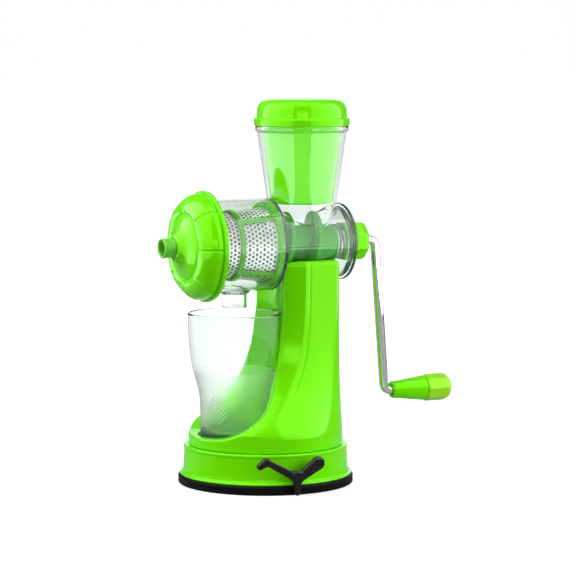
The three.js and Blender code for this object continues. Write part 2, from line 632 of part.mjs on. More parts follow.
// One left-handed flight wound round a tapering core. Each entry is [angle, share of the flight's height].
function augerScrew() {
  const corners = [];
  for (let angle = 40; angle <= 320; angle += 35) corners.push([angle, 0]);
  for (let angle = -24; angle <= 24; angle += 16) corners.push([angle, 1]);
  const length = AUGER_BACK_X - AUGER_FRONT_X;
  const steps = Math.ceil((length / AUGER_PITCH) * (360 / AUGER_TURN_STEP));
  const noseEnd = CHAMBER_FLOOR_X - 6;
  const rings = [];
  for (let i = 0; i <= steps; i += 1) {
    const x = AUGER_FRONT_X + (length * i) / steps;
    const nose = THREE.MathUtils.clamp((x - AUGER_FRONT_X) / (noseEnd - AUGER_FRONT_X), 0, 1);
    const core = THREE.MathUtils.lerp(AUGER_CORE_FRONT_R, AUGER_CORE_BACK_R, nose);
    const tip = THREE.MathUtils.lerp(AUGER_NOSE_TIP_R, AUGER_TIP_R, nose);
    const rise = THREE.MathUtils.clamp(Math.min(x - AUGER_FRONT_X, AUGER_BACK_X - x) / FLIGHT_FADE, 0, 1);
    const twist = (-360 * x) / AUGER_PITCH;
    rings.push(corners.map(([angle, share]) => {
      const r = core + (tip - core) * share * rise;
      const turn = radians(angle + twist);
      return new THREE.Vector3(x, r * Math.cos(turn), AXIS_Z + r * Math.sin(turn));
    }));
  }
  const bore = axisTurned(disc(SHAFT_HEX_R + SEAT_GAP, SHAFT_FRONT_X - SEAT_GAP, AUGER_BACK_X + EPS), 6);
  return loft(rings).subtract(bore);
}

const sealX = AUGER_BACK_X + TURN_GAP;
const bushFlangeX = sealX + SEAL_T + SEAT_GAP;
const bushEndX = TUBE_END_X;
const washerX = TUBE_END_X + TURN_GAP;
const hubX = washerX + WASHER_T + SEAT_GAP;
const runningR = SHAFT_R + TURN_GAP;

function augerShaft() {
  const journal = axisTurned(disc(SHAFT_R, AUGER_BACK_X + SEAT_GAP, hubX - SEAT_GAP), SMALL_ROUND);
  const drive = axisTurned(disc(SHAFT_HEX_R, SHAFT_FRONT_X, hubX + SHAFT_HUB_L), 6);
  const rodBore = axisTurned(disc(ROD_R + SEAT_GAP, hubX + 1, hubX + SHAFT_HUB_L + EPS), ROD_FACETS);
  return journal.add(drive).subtract(rodBore);
}

const rearSeal = () => axisTurned(ring(runningR, SEAL_R, sealX, sealX + SEAL_T), SMALL_ROUND);

function rearBush() {
  const flangeEnd = TUBE_END_X - END_WALL - SEAT_GAP;
  return axisTurned([
    [runningR, bushFlangeX], [BUSH_FLANGE_R, bushFlangeX], [BUSH_FLANGE_R, flangeEnd], [BUSH_R, flangeEnd],
    [BUSH_R, bushEndX], [runningR, bushEndX],
  ], SMALL_ROUND);
}

const thrustWasher = () => axisTurned(ring(runningR, WASHER_R, washerX, washerX + WASHER_T), SMALL_ROUND);

// ---- Crank --------------------------------------------------------------------------------------

function crankHub() {
  const end = hubX + HUB_L;
  const nut = axisTurned([
    [0, hubX], [HUB_R - 0.8, hubX], [HUB_R, hubX + 0.8], [HUB_R, end - 6], [HUB_R - 1.8, end - 2.6],
    [HUB_R - 5, end - 0.6], [HUB_R - 8, end], [0, end],
  ], 8);
  const driveBore = axisTurned(disc(SHAFT_HEX_R + SEAT_GAP, hubX - EPS, hubX + SHAFT_HUB_L + SEAT_GAP), 6);
  const rodBore = axisTurned(disc(ROD_R + SEAT_GAP, hubX, end + EPS), ROD_FACETS);
  return rolled(nut, 22.5).subtract(driveBore).subtract(rodBore);
}

const gripZ = AXIS_Z - ARM_L;
const gripEndX = GRIP_X + GRIP_L;
const clipX = gripEndX + GRIP_SPIGOT_L + 2;
const rodEndX = clipX + CLIP_T + 2;

function crankRod() {
  const at = (x, z) => new THREE.Vector3(x, 0, z);
  const start = at(hubX + 2, AXIS_Z);
  const elbow = at(ARM_TOP_X, AXIS_Z);
  const knee = at(ARM_LOW_X, gripZ);
  const end = at(rodEndX, gripZ);
  const near = (from, to) => from.clone().add(to.clone().sub(from).setLength(ROD_BEND));
  const path = new THREE.CurvePath();
  path.add(new THREE.LineCurve3(start, near(elbow, start)));
  path.add(new THREE.QuadraticBezierCurve3(near(elbow, start), elbow, near(elbow, knee)));
  path.add(new THREE.LineCurve3(near(elbow, knee), near(knee, elbow)));
  path.add(new THREE.QuadraticBezierCurve3(near(knee, elbow), knee, near(knee, end)));
  path.add(new THREE.LineCurve3(near(knee, end), end));
  const section = new THREE.Shape();
  section.absarc(0, 0, ROD_R, 0, 2 * Math.PI);
  const geometry = new THREE.ExtrudeGeometry(section, {
    extrudePath: path,
    steps: ROD_STEPS,
    bevelEnabled: false,
    curveSegments: ROD_FACETS / 2,
  });
  return solid(geometry);
}

const onGripAxis = (outline, segments = SMALL_ROUND) => axisTurned(outline, segments, gripZ);

const gripClip = () => onGripAxis(ring(ROD_R + SEAT_GAP, CLIP_R, clipX, clipX + CLIP_T));

function gripSleeve() {
  const bore = ROD_R + TURN_GAP;
  const spigotEnd = gripEndX + GRIP_SPIGOT_L;
  return onGripAxis([
    [bore, GRIP_X], [GRIP_SMALL_R - 0.8, GRIP_X], [GRIP_SMALL_R, GRIP_X + 0.8],
    [GRIP_SMALL_R + 0.6, GRIP_X + 10], [GRIP_LARGE_R - 0.6, gripEndX - 10],
    [GRIP_LARGE_R, gripEndX], [GRIP_SPIGOT_R, gripEndX], [GRIP_SPIGOT_R, spigotEnd], [bore, spigotEnd],
  ]);
}

function gripCap() {
  const from = gripEndX + SEAT_GAP;
  const end = from + GRIP_CAP_L;
  const knob = onGripAxis([
    [0, from], [GRIP_CAP_R - 1, from], [GRIP_CAP_R, from + 1.4],
    [GRIP_CAP_R, end - 3.4], [GRIP_CAP_R - 2.4, end],
    [0, end],
  ], 8);
  return knob.subtract(onGripAxis(disc(GRIP_SPIGOT_R + SEAT_GAP, from - EPS, end - 4)));
}

// ---- Front cap and pulp nozzle ------------------------------------------------------------------

// The domed outside, from the flange to the nose.
function capOutside() {
  const dome = new THREE.SplineCurve([
    [CHAMBER_R + 6.2, CAP_BACK_X - 4], [CHAMBER_R + 5.2, CAP_BACK_X - 10], [CHAMBER_R + 2.7, CAP_BACK_X - 15],
    [CHAMBER_R - 2.3, CAP_BACK_X - 19.5], [CHAMBER_R - 6.3, CAP_CREST_X],
  ].map(([r, x]) => new THREE.Vector2(r, x)));
  const bell = new THREE.SplineCurve([
    [CHAMBER_R - 11.9, CAP_CREST_X + 1.9], [CHAMBER_R - 17, CAP_CREST_X - 1.2],
    [CHAMBER_R - 23, CAP_CREST_X - 4.2],
    [CAP_NOSE_R, CAP_NOSE_X + 0.6],
  ].map(([r, x]) => new THREE.Vector2(r, x)));
  return [...dome.getPoints(5), ...bell.getPoints(3)].map((point) => [point.x, point.y]);
}

const gasketX = CHAMBER_MOUTH_X - SEAT_GAP - GASKET_T;
const bossInX = CAP_CREST_X + 4.5;
const nozzleBoreR = NOZZLE_R + TURN_GAP;

function frontCap() {
  const seatX = gasketX - SEAT_GAP;
  return axisTurned([
    [nozzleBoreR, CAP_NOSE_X], [nozzleBoreR, bossInX], [NOZZLE_COLLAR_R + 2.4, bossInX],
    [NOZZLE_COLLAR_R + 4, bossInX - 3], [CHAMBER_R - 12, seatX - 2.5], [CHAMBER_BORE_R, seatX],
    [CAP_BORE_R, seatX], [CAP_BORE_R, CAP_BACK_X],
    [CAP_FLANGE_R - 0.6, CAP_BACK_X], [CAP_FLANGE_R, CAP_BACK_X - 0.6],
    [CAP_FLANGE_R, CAP_BACK_X - CAP_FLANGE_T + 0.4], [CAP_FLANGE_R - 0.5, CAP_BACK_X - CAP_FLANGE_T],
    ...capOutside(),
  ].reverse());
}

const capGasket = () => axisTurned(ring(CHAMBER_BORE_R, CHAMBER_R, gasketX, gasketX + GASKET_T));

const collarX = bossInX + ORING_T + 2 * SEAT_GAP;

function pulpNozzle() {
  const tip = CAP_NOSE_X - NOZZLE_OUT;
  return axisTurned([
    [NOZZLE_BORE_R, tip + 0.5], [NOZZLE_BORE_R + 0.5, tip], [NOZZLE_R - 0.5, tip], [NOZZLE_R, tip + 0.5],
    [NOZZLE_R, collarX], [NOZZLE_COLLAR_R, collarX], [NOZZLE_COLLAR_R, collarX + NOZZLE_COLLAR_T],
    [NOZZLE_BORE_R, collarX + NOZZLE_COLLAR_T],
  ], SMALL_ROUND);
}

const nozzleOring = () => axisTurned(
  ring(nozzleBoreR, NOZZLE_COLLAR_R, bossInX + SEAT_GAP, bossInX + SEAT_GAP + ORING_T), SMALL_ROUND);

// ---- Pusher -------------------------------------------------------------------------------------

const lidZ = HOPPER_RIM_Z + SEAT_GAP;

function pusherCup() {
  const flangeR = HOPPER_RIM_R - 0.6;
  const bottomR = hopperRadius(PUSHER_BOTTOM_Z) - HOPPER_WALL - TURN_GAP;
  const topR = bottomR + (lidZ - PUSHER_BOTTOM_Z) * PUSHER_TAPER;
  return uprightTurned(HOPPER_X, [
    [0, PUSHER_BOTTOM_Z], [bottomR - 1.5, PUSHER_BOTTOM_Z], [bottomR, PUSHER_BOTTOM_Z + 1.5], [topR, lidZ],
    [flangeR, lidZ], [flangeR, lidZ + PUSHER_FLANGE_T], [topR - PUSHER_WALL, lidZ + PUSHER_FLANGE_T],
    [bottomR - PUSHER_WALL, PUSHER_BOTTOM_Z + 3], [0, PUSHER_BOTTOM_Z + PUSHER_WALL],
  ]);
}

function pusherLid() {
  const bandTop = lidZ + LID_BAND_H;
  const top = lidZ + LID_H;
  const seatZ = lidZ + PUSHER_FLANGE_T + SEAT_GAP;
  const bandBore = HOPPER_RIM_R - SEAT_GAP;
  const innerR = LID_DOME_R - LID_WALL;
  const shoulder = [0, 30, 60, 90].map((angle) => [
    LID_DOME_R - LID_SHOULDER_R + LID_SHOULDER_R * Math.cos(radians(angle)),
    top - 0.6 - LID_SHOULDER_R + LID_SHOULDER_R * Math.sin(radians(angle)),
  ]);
  return uprightTurned(HOPPER_X, [
    [bandBore, lidZ], [LID_R - 0.5, lidZ], [LID_R, lidZ + 0.5],
    [LID_R, bandTop - 0.8], [LID_DOME_R + 0.4, bandTop],
    ...shoulder, [0, top],
    [0, top - LID_WALL], [innerR - LID_SHOULDER_R, top - LID_WALL - 0.6],
    [innerR, top - LID_WALL - LID_SHOULDER_R],
    [innerR, seatZ], [bandBore, seatZ],
  ]);
}

// ---- Assembly -----------------------------------------------------------------------------------

addPiece('suction_pad', suctionPad(), BLACK_RUBBER);
addPiece('backing_plate', backingPlate(), BLACK_PLASTIC);
addPiece('base_ring', baseRing(), GREEN_PLASTIC);
addPiece('stand_column', standColumn(), GREEN_PLASTIC);
screwSpots.forEach((spot, i) => addPiece(`base_screw_${i + 1}`, baseScrew(spot), STEEL));
addPiece('cam_shaft', camShaft(), STEEL);
addPiece('shaft_clip_inner', shaftClip(-BEARING_IN - BEARING_L), BLACK_PLASTIC);
addPiece('shaft_clip_outer', shaftClip(BEARING_IN), BLACK_PLASTIC);
addPiece('vacuum_lever', vacuumLever(), BLACK_PLASTIC);
addPiece('pad_stem', padStem(), GREY_PLASTIC);
addPiece('juice_glass', juiceGlass(), TUMBLER_PLASTIC);
addPiece('juicer_housing', juicerHousing(), CLEAR_PLASTIC);
addPiece('strainer_frame', strainerFrame(), GREEN_PLASTIC);
addPiece('strainer_mesh', strainerMesh(), STEEL);
addPiece('auger_screw', augerScrew(), DULL_GREEN_PLASTIC);
addPiece('auger_shaft', augerShaft(), STEEL);
addPiece('rear_seal', rearSeal(), WHITE_RUBBER);
addPiece('rear_bush', rearBush(), GREY_PLASTIC);
addPiece('thrust_washer', thrustWasher(), STEEL);
addPiece('crank_hub', crankHub(), GREEN_PLASTIC);
addPiece('crank_rod', crankRod(), CHROME);
addPiece('grip_clip', gripClip(), STEEL);
addPiece('grip_sleeve', gripSleeve(), GREEN_PLASTIC);
addPiece('grip_cap', gripCap(), PALE_GREEN_PLASTIC);
addPiece('front_cap', frontCap(), GREEN_PLASTIC);
addPiece('cap_gasket', capGasket(), WHITE_RUBBER);
addPiece('pulp_nozzle', pulpNozzle(), DULL_GREEN_PLASTIC);
addPiece('nozzle_oring', nozzleOring(), BLACK_RUBBER);
addPiece('pusher_cup', pusherCup(), GREEN_PLASTIC);
addPiece('pusher_lid', pusherLid(), GREEN_PLASTIC);

export default juicer;
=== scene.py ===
"""Looks of a hand-cranked juicer on a suction base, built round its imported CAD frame. Metres, +Z up.

Outlines and fields are in millimetres, as in the CAD source, and MM scales them when a mesh is made.
"""

import functools
import json
import math

import bpy
import numpy as np
from mathutils import Matrix, Vector

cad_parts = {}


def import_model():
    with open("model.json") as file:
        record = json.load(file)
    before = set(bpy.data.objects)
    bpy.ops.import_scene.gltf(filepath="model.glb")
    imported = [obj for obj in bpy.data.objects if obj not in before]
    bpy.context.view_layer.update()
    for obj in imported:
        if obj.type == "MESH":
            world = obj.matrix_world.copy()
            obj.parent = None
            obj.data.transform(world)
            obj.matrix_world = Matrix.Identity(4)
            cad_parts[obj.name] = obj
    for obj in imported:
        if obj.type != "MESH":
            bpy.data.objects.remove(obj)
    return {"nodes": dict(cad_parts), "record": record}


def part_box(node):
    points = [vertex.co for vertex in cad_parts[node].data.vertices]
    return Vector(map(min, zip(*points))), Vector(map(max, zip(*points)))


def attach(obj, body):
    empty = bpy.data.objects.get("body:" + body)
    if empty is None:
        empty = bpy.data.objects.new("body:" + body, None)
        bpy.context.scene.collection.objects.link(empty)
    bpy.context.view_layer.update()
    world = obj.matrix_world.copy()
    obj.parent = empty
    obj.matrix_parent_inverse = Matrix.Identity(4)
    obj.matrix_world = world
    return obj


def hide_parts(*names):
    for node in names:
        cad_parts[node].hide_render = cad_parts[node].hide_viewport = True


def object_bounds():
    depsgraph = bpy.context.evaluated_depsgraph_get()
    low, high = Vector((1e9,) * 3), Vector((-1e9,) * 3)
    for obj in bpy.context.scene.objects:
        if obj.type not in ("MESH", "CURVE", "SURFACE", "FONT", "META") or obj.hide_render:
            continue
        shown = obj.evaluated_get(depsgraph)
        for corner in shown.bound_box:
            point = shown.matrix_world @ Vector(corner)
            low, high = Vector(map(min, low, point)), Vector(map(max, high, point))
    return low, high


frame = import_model()
CAD_LOW, CAD_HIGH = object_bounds()

MM = 0.001
SEGMENTS = 160  # round a large turned piece
SMALL_SEGMENTS = 72  # round a small one
CORNER_STEPS = 4  # facets round a softened corner
ON_AXIS = 1e-6  # a radius under this is a point on the axis
SMOOTH_TURN = math.radians(22)  # an outline that turns less than this at a point is left as it is

# ---- Places in millimetres, from the frame where it holds them ----


def span(node):
    """A CAD node's lowest and highest corners in millimetres."""
    low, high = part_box(node)
    return low / MM, high / MM


def half_height(node):
    low, high = span(node)
    return (high.z - low.z) / 2


_, PAD_HIGH = span("suction_pad")
RING_LOW, RING_HIGH = span("base_ring")
STAND_LOW, STAND_HIGH = span("stand_column")
GLASS_LOW, GLASS_HIGH = span("juice_glass")
HOUSING_LOW, HOUSING_HIGH = span("juicer_housing")
CAP_LOW, CAP_HIGH = span("front_cap")
GASKET_LOW, GASKET_HIGH = span("cap_gasket")
NOZZLE_LOW, NOZZLE_HIGH = span("pulp_nozzle")
ORING_LOW, ORING_HIGH = span("nozzle_oring")
AUGER_LOW, AUGER_HIGH = span("auger_screw")
SEAL_LOW, SEAL_HIGH = span("rear_seal")
BUSH_LOW, BUSH_HIGH = span("rear_bush")
WASHER_LOW, WASHER_HIGH = span("thrust_washer")
HUB_LOW, HUB_HIGH = span("crank_hub")
ROD_LOW, ROD_HIGH = span("crank_rod")
GRIP_LOW, GRIP_HIGH = span("grip_sleeve")
GRIP_CAP_LOW, GRIP_CAP_HIGH = span("grip_cap")
CUP_LOW, CUP_HIGH = span("pusher_cup")
LID_LOW, LID_HIGH = span("pusher_lid")
MESH_LOW, MESH_HIGH = span("strainer_mesh")
FRAME_LOW, FRAME_HIGH = span("strainer_frame")

GAP = 0.3  # between pieces that rest on or fit into each other
PAD_R = PAD_HIGH.x
RING_WALL = 3
RING_TOE = 3  # how far the foot stands out from the skirt
RING_R = RING_HIGH.x - RING_TOE
AXIS_Z = (CAP_LOW.z + CAP_HIGH.z) / 2
CHAMBER_R = half_height("cap_gasket")
CHAMBER_WALL = 2.6
CHAMBER_BORE_R = CHAMBER_R - CHAMBER_WALL
CHAMBER_MOUTH_X = HOUSING_LOW.x
CHAMBER_BACK_X = 3.5
CHAMBER_FLOOR_X = CHAMBER_BACK_X - CHAMBER_WALL
TUBE_STEP = 9.3  # from the chamber's radius in to the tube's
TUBE_WALL = 2.4
TUBE_R = CHAMBER_R - TUBE_STEP
TUBE_BORE_R = TUBE_R - TUBE_WALL
TUBE_END_X = BUSH_HIGH.x
TUBE_END_WALL = 6
END_FLANGE_R = TUBE_R + 3
END_FLANGE_T = 3
HOPPER_X = (LID_LOW.x + LID_HIGH.x) / 2
LID_R = (LID_HIGH.x - LID_LOW.x) / 2
HOPPER_RIM_R = LID_R - 1
HOPPER_RIM_Z = HOUSING_HIGH.z
HOPPER_TAPER = 0.145
HOPPER_WALL = 2.2
HOPPER_LIP_H = 4
GLASS_X = (GLASS_LOW.x + GLASS_HIGH.x) / 2
GLASS_RIM_R = (GLASS_HIGH.x - GLASS_LOW.x) / 2
GLASS_BASE_R = 29.2
GLASS_WALL = 2.2
GLASS_FLOOR = 6
SPOUT_R = 10.6
SPOUT_WALL = 1.8
SPOUT_END_Z = HOUSING_LOW.z
GRIP_Z = (GRIP_LOW.z + GRIP_HIGH.z) / 2
ROD_R = GRIP_Z - ROD_LOW.z
ROD_BEND = 7
ARM_TOP_X = 105
FOOT_X = (18, 46)  # tongue under the tube
FOOT_HALF_W = 5
FOOT_H = 18
FOOT_BOTTOM_Z = AXIS_Z - TUBE_R - FOOT_H
BUSH_FLANGE_R = half_height("rear_bush")
BUSH_FLANGE = 3  # how far it stands out from the bush
NOZZLE_BORE_R = 9.0
LEVER_AZIMUTH = math.radians(-96.3)
LEVER_PIVOT_Z = RING_LOW.z + 8.2

BODY_OF = {node: body for body, nodes in frame["record"]["behaviour"]["bodies"].items() for node in nodes}
SLOT_OF = {part["node"]: part["material_slot"] for part in frame["record"]["subparts"]}

# ---- Materials ----

TINT_RANGE = (0.35, 0.65)  # the noise's usual low and high, for colour
ROUGHEN_RANGE = (0.3, 0.7)  # and for gloss

class Graph:
    """Short ways to add nodes to a tree. A value is a constant or another node's output."""

    def __init__(self, tree):
        self.nodes = tree.nodes
        self.links = tree.links

    def plug(self, value, socket):
        if isinstance(value, bpy.types.NodeSocket):
            self.links.new(value, socket)
        else:
            socket.default_value = value

    def feed(self, node, **values):
        """Gives a node's inputs their values. An underscore stands for a space in an input's name."""
        for name, value in values.items():
            self.plug(value, node.inputs[name.replace("_", " ")])
        return node

    def add(self, kind, **values):
        return self.feed(self.nodes.new("ShaderNode" + kind), **values)

    def calculate(self, operation, *values, kind="Math"):
        """A number worked out from numbers or, where kind is VectorMath, from vectors."""
        node = self.add(kind)
        node.operation = operation
        for socket, value in zip(node.inputs, values):
            self.plug(value, socket)
        return node.outputs["Value"]

    def spread(self, value, from_range, to_range, interpolation="LINEAR"):
        """A value carried from one range to another."""
        ends = dict(zip(("From_Min", "From_Max", "To_Min", "To_Max"), (*from_range, *to_range)))
        node = self.add("MapRange", Value=value, **ends)
        node.interpolation_type = interpolation
        return node.outputs["Result"]


class Finish(Graph):
    """A Principled material whose patterns are read in the object's own coordinates."""

    def __init__(self, name, color, roughness, **sockets):
        self.material = bpy.data.materials.new(name)
        self.material.use_nodes = True
        super().__init__(self.material.node_tree)
        self.shader = self.nodes["Principled BSDF"]
        self.feed(self.shader, Base_Color=(*color, 1), Roughness=roughness, **sockets)
        self.coordinates = self.add("TexCoord").outputs["Object"]

    def noise(self, scale, detail=3.0, stretch=(1, 1, 1)):
        """Noise with about scale cells to the metre."""
        mapping = self.add("Mapping", Vector=self.coordinates, Scale=stretch)
        texture = self.add("TexNoise", Vector=mapping.outputs["Vector"], Scale=scale, Detail=detail)
        return texture.outputs["Fac"]

    def tint(self, pattern, first, second):
        """Base colour that goes from first to second with a pattern."""
        ramp = self.add("ValToRGB", Fac=pattern)
        for element, position, color in zip(ramp.color_ramp.elements, TINT_RANGE, (first, second)):
            element.position = position
            element.color = (*color, 1)
        self.feed(self.shader, Base_Color=ramp.outputs["Color"])

    def roughen(self, pattern, low, high):
        self.feed(self.shader, Roughness=self.spread(pattern, ROUGHEN_RANGE, (low, high)))

    def bump(self, pattern, height_mm):
        node = self.add("Bump", Strength=1.0, Distance=height_mm * MM, Height=pattern)
        self.feed(self.shader, Normal=node.outputs["Normal"])

    def along(self, direction):
        """Distance along a direction."""
        return self.calculate("DOT_PRODUCT", self.coordinates, direction, kind="VectorMath")

    def absorb(self, color, density):
        """Light fades with the distance it goes inside the piece."""
        volume = self.add("VolumeAbsorption", Color=(*color, 1), Density=density)
        self.feed(self.nodes["Material Output"], Volume=volume.outputs["Volume"])


def scaled(color, factor):
    return tuple(min(channel * factor, 1) for channel in color)


def moulded(name, color, roughness, **sockets):
    """Moulded plastic: faint flow marks in the colour, uneven gloss and a very fine orange peel."""
    finish = Finish(name, color, roughness, **sockets)
    finish.tint(finish.noise(22, 4, (1, 1, 0.35)), scaled(color, 0.94), scaled(color, 1.04))
    finish.roughen(finish.noise(60, 3), roughness * 0.8, roughness * 1.25)
    finish.bump(finish.noise(900, 2), 0.004)
    return finish.material


def clear(name, color, low, high, absorption, density):
    """Clear moulding: smooth, with a slight haze and a tint that deepens where it is thick."""
    finish = Finish(name, color, low, Transmission_Weight=1.0, IOR=1.42)
    finish.roughen(finish.noise(45, 2), low, high)
    finish.absorb(absorption, density)
    return finish.material


def rubber(name, color, roughness, **sockets):
    finish = Finish(name, color, roughness, **sockets)
    finish.tint(finish.noise(160, 4), scaled(color, 0.8), scaled(color, 1.5))
    finish.roughen(finish.noise(90, 3), roughness * 0.85, min(roughness * 1.15, 1))
    finish.bump(finish.noise(1500, 2), 0.02)
    return finish.material


def metal(name, color, low, high, grain, stretch):
    """Bare or plated metal, with a grain that runs along the stretch's short side."""
    finish = Finish(name, color, low, Metallic=1.0)
    pattern = finish.noise(grain, 3, stretch)
    finish.tint(pattern, scaled(color, 0.9), scaled(color, 1.06))
    finish.roughen(pattern, low, high)
    finish.bump(pattern, 0.003)
    return finish.material


GREEN = (0.165, 0.790, 0.001)
DULL_GREEN = (0.190, 0.600, 0.070)
PALE_GREEN = (0.330, 0.800, 0.030)
# green plastic darkened as painted shade, for the cage inside the clear housing, which throws no shadow
PAINTED_SHADE_GREEN = (0.085, 0.430, 0.012)
# the auger's dull green plastic, darkened below the nozzle's as painted shade for the inside of the housing
AUGER_PAINTED_SHADE_GREEN = (0.040, 0.380, 0.018)
GREEN_GLOSS = (0.3, 1.0, 0.06, 1)  # the pigment tints the gloss a little

FINISHES = {
    "green_plastic": moulded("green_plastic_look", GREEN, 0.12, Specular_Tint=GREEN_GLOSS),
    "dull_green_plastic": moulded("dull_green_plastic_look", DULL_GREEN, 0.28, Specular_Tint=GREEN_GLOSS),
    "pale_green_plastic": moulded("pale_green_plastic_look", PALE_GREEN, 0.22, Specular_Tint=GREEN_GLOSS),
    "clear_plastic": clear("clear_plastic_look", (0.97, 0.99, 0.98), 0.0, 0.03, (0.2, 0.42, 0.3), 42),
    "black_plastic": moulded("black_plastic_look", (0.003, 0.003, 0.0035), 0.28, Specular_IOR_Level=0.3),
    "grey_plastic": moulded("grey_plastic_look", (0.25, 0.27, 0.27), 0.45, IOR=1.5),
    "black_rubber": rubber("black_rubber_look", (0.002, 0.002, 0.002), 0.45, Specular_IOR_Level=0.08),
    "white_rubber": rubber("white_rubber_look", (0.70, 0.70, 0.67), 0.5),
    "zinc_steel": metal("zinc_steel_look", (0.62, 0.63, 0.65), 0.2, 0.35, 500, (1, 1, 0.1)),
    "strainer_steel": metal("strainer_steel_look", (0.92, 0.92, 0.92), 0.32, 0.48, 400, (0.1, 1, 1)),
    "chromed_steel": metal("chromed_steel_look", (0.80, 0.81, 0.82), 0.03, 0.07, 300, (1, 1, 1)),
}
CAGE_PAINTED_SHADE = moulded("strainer_cage_painted_shade_look", PAINTED_SHADE_GREEN, 0.2, Specular_Tint=GREEN_GLOSS)
AUGER_PAINTED_SHADE = moulded("auger_painted_shade_look", AUGER_PAINTED_SHADE_GREEN, 0.25, Specular_Tint=GREEN_GLOSS)
# near-black steel for the strainer's inner faces and hole walls: painted shade, so the holes look dark
MESH_PAINTED_SHADE = metal("strainer_inside_painted_shade_look", (0.05, 0.05, 0.05), 0.5, 0.7, 400, (0.1, 1, 1))

FROST_TOP_Z = GLASS_LOW.z + 58.5
FROST_HAZE = (0.12, 0.26)  # variation and least roughness of the etched part


def tumbler_finish():
    """Clear above and etched below."""
    finish = Finish("tumbler_look", (0.97, 0.99, 0.985), 0.02, Transmission_Weight=1.0, IOR=1.4)
    etched = finish.calculate("LESS_THAN", finish.along((0, 0, 1)), FROST_TOP_Z * MM)
    haze = finish.calculate("MULTIPLY_ADD", finish.noise(120, 3), *FROST_HAZE)
    finish.feed(finish.shader, Roughness=finish.calculate("MULTIPLY", etched, haze))
    finish.absorb((0.25, 0.42, 0.34), 60)
    return finish.material


TUMBLER_FINISH = tumbler_finish()

# ---- Meshes ----


def add_piece(name, points, faces, finish, normals=None, sharp=None):
    """A mesh object from points in millimetres. Normals are exact where given, and edges that turn
    more than sharp degrees look sharp."""
    mesh = bpy.data.meshes.new(name)
    mesh.from_pydata((np.asarray(points, float) * MM).tolist(), [], faces)
    mesh.materials.append(finish)
    mesh.shade_smooth()
    if sharp is not None:
        mesh.set_sharp_from_angle(angle=math.radians(sharp))
    if normals is not None:
        mesh.normals_split_custom_set_from_vertices(np.asarray(normals, float).tolist())
    piece = bpy.data.objects.new(name, mesh)
    bpy.context.scene.collection.objects.link(piece)
    return piece


def stands_for(piece, node):
    """The piece rides with a CAD node's body and is shown instead of it."""
    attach(piece, BODY_OF[node])
    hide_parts(node)
    return piece


def upright(x):
    """Places a turned piece round a vertical axis at x."""
    return Matrix.Translation((x, 0, 0))


def along_x(z=AXIS_Z):
    """Places a turned piece round an axis along +X at height z."""
    return Matrix.Translation((0, 0, z)) @ Matrix(((0, 0, 1, 0), (1, 0, 0, 0), (0, 1, 0, 0), (0, 0, 0, 1)))


def spline(points, steps=8):
    """Catmull-Rom curve through the points, as a list of points."""
    p = [np.array(q, float) for q in points]
    curve = []
    for i in range(len(p) - 1):
        a, b, c, d = p[max(i - 1, 0)], p[i], p[i + 1], p[min(i + 2, len(p) - 1)]
        for s in range(steps):
            t = s / steps
            square, cube = 2 * a - 5 * b + 4 * c - d, 3 * b - a - 3 * c + d
            curve.append(0.5 * (2 * b + (c - a) * t + square * t**2 + cube * t**3))
    return [tuple(q) for q in [*curve, p[-1]]]


def arc(centre, radius, start, end, steps=6):
    """Points of a circular arc, in degrees."""
    angles = np.radians(np.linspace(start, end, steps + 1))
    return [(centre[0] + radius * math.cos(a), centre[1] + radius * math.sin(a)) for a in angles]


def disc(r, low, high):
    return [(0, low), (r, low), (r, high), (0, high)]


def ring(inner, outer, low, high):
    return [(inner, low), (outer, low), (outer, high), (inner, high)]


def soften(outline, radius, closed):
    """Rounds an outline's sharp corners. Returns points and the outline's direction at each."""
    corners = [Vector(p) for p in outline]
    last = len(corners) - 1
    points, directions = [], []
    for i, corner in enumerate(corners):
        before, after = corners[i - 1], corners[(i + 1) % len(corners)]
        if not closed and i in (0, last):
            points.append(corner)
            directions.append((after - corner if i == 0 else corner - before).normalized())
            continue
        arrive, leave = (corner - before).normalized(), (after - corner).normalized()
        if arrive.angle(leave) < SMOOTH_TURN:
            points.append(corner)
            directions.append((arrive + leave).normalized())
            continue
        cut = min(radius, 0.45 * (corner - before).length, 0.45 * (after - corner).length)
        start, end = corner - arrive * cut, corner + leave * cut
        for step in range(CORNER_STEPS + 1):
            t = step / CORNER_STEPS
            points.append(start * (1 - t) ** 2 + corner * 2 * t * (1 - t) + end * t**2)
            directions.append((arrive * (1 - t) + leave * t).normalized())
    return points, directions


def revolve(points, closed, angles):
    """An outline turned through all the angles: each vertex's radius, height, angle and outline point,
    and the faces."""
    rows, rings = [], []
    for index, (r, h) in enumerate(points):
        if r < ON_AXIS:
            rings.append([len(rows)] * len(angles))
            rows.append((0, h, 0, index))
        else:
            rings.append(list(range(len(rows), len(rows) + len(angles))))
            rows.extend((r, h, angle, index) for angle in angles)
    faces = []
    around = len(angles)
    for k in range(len(rings) if closed else len(rings) - 1):
        low, high = rings[k], rings[(k + 1) % len(rings)]
        for j in range(around):
            n = (j + 1) % around
            corners = dict.fromkeys((low[j], low[n], high[n], high[j]))
            if len(corners) > 2:
                faces.append(tuple(corners))
    r, h, angle, index = np.array(rows, float).T
    return r, h, angle, index.astype(int), faces


def placed(r, h, angle, place):
    """Vertices at those radii, heights and angles, put in their place."""
    matrix = np.array(place)
    return np.column_stack([r * np.cos(angle), r * np.sin(angle), h]) @ matrix[:3, :3].T + matrix[:3, 3]


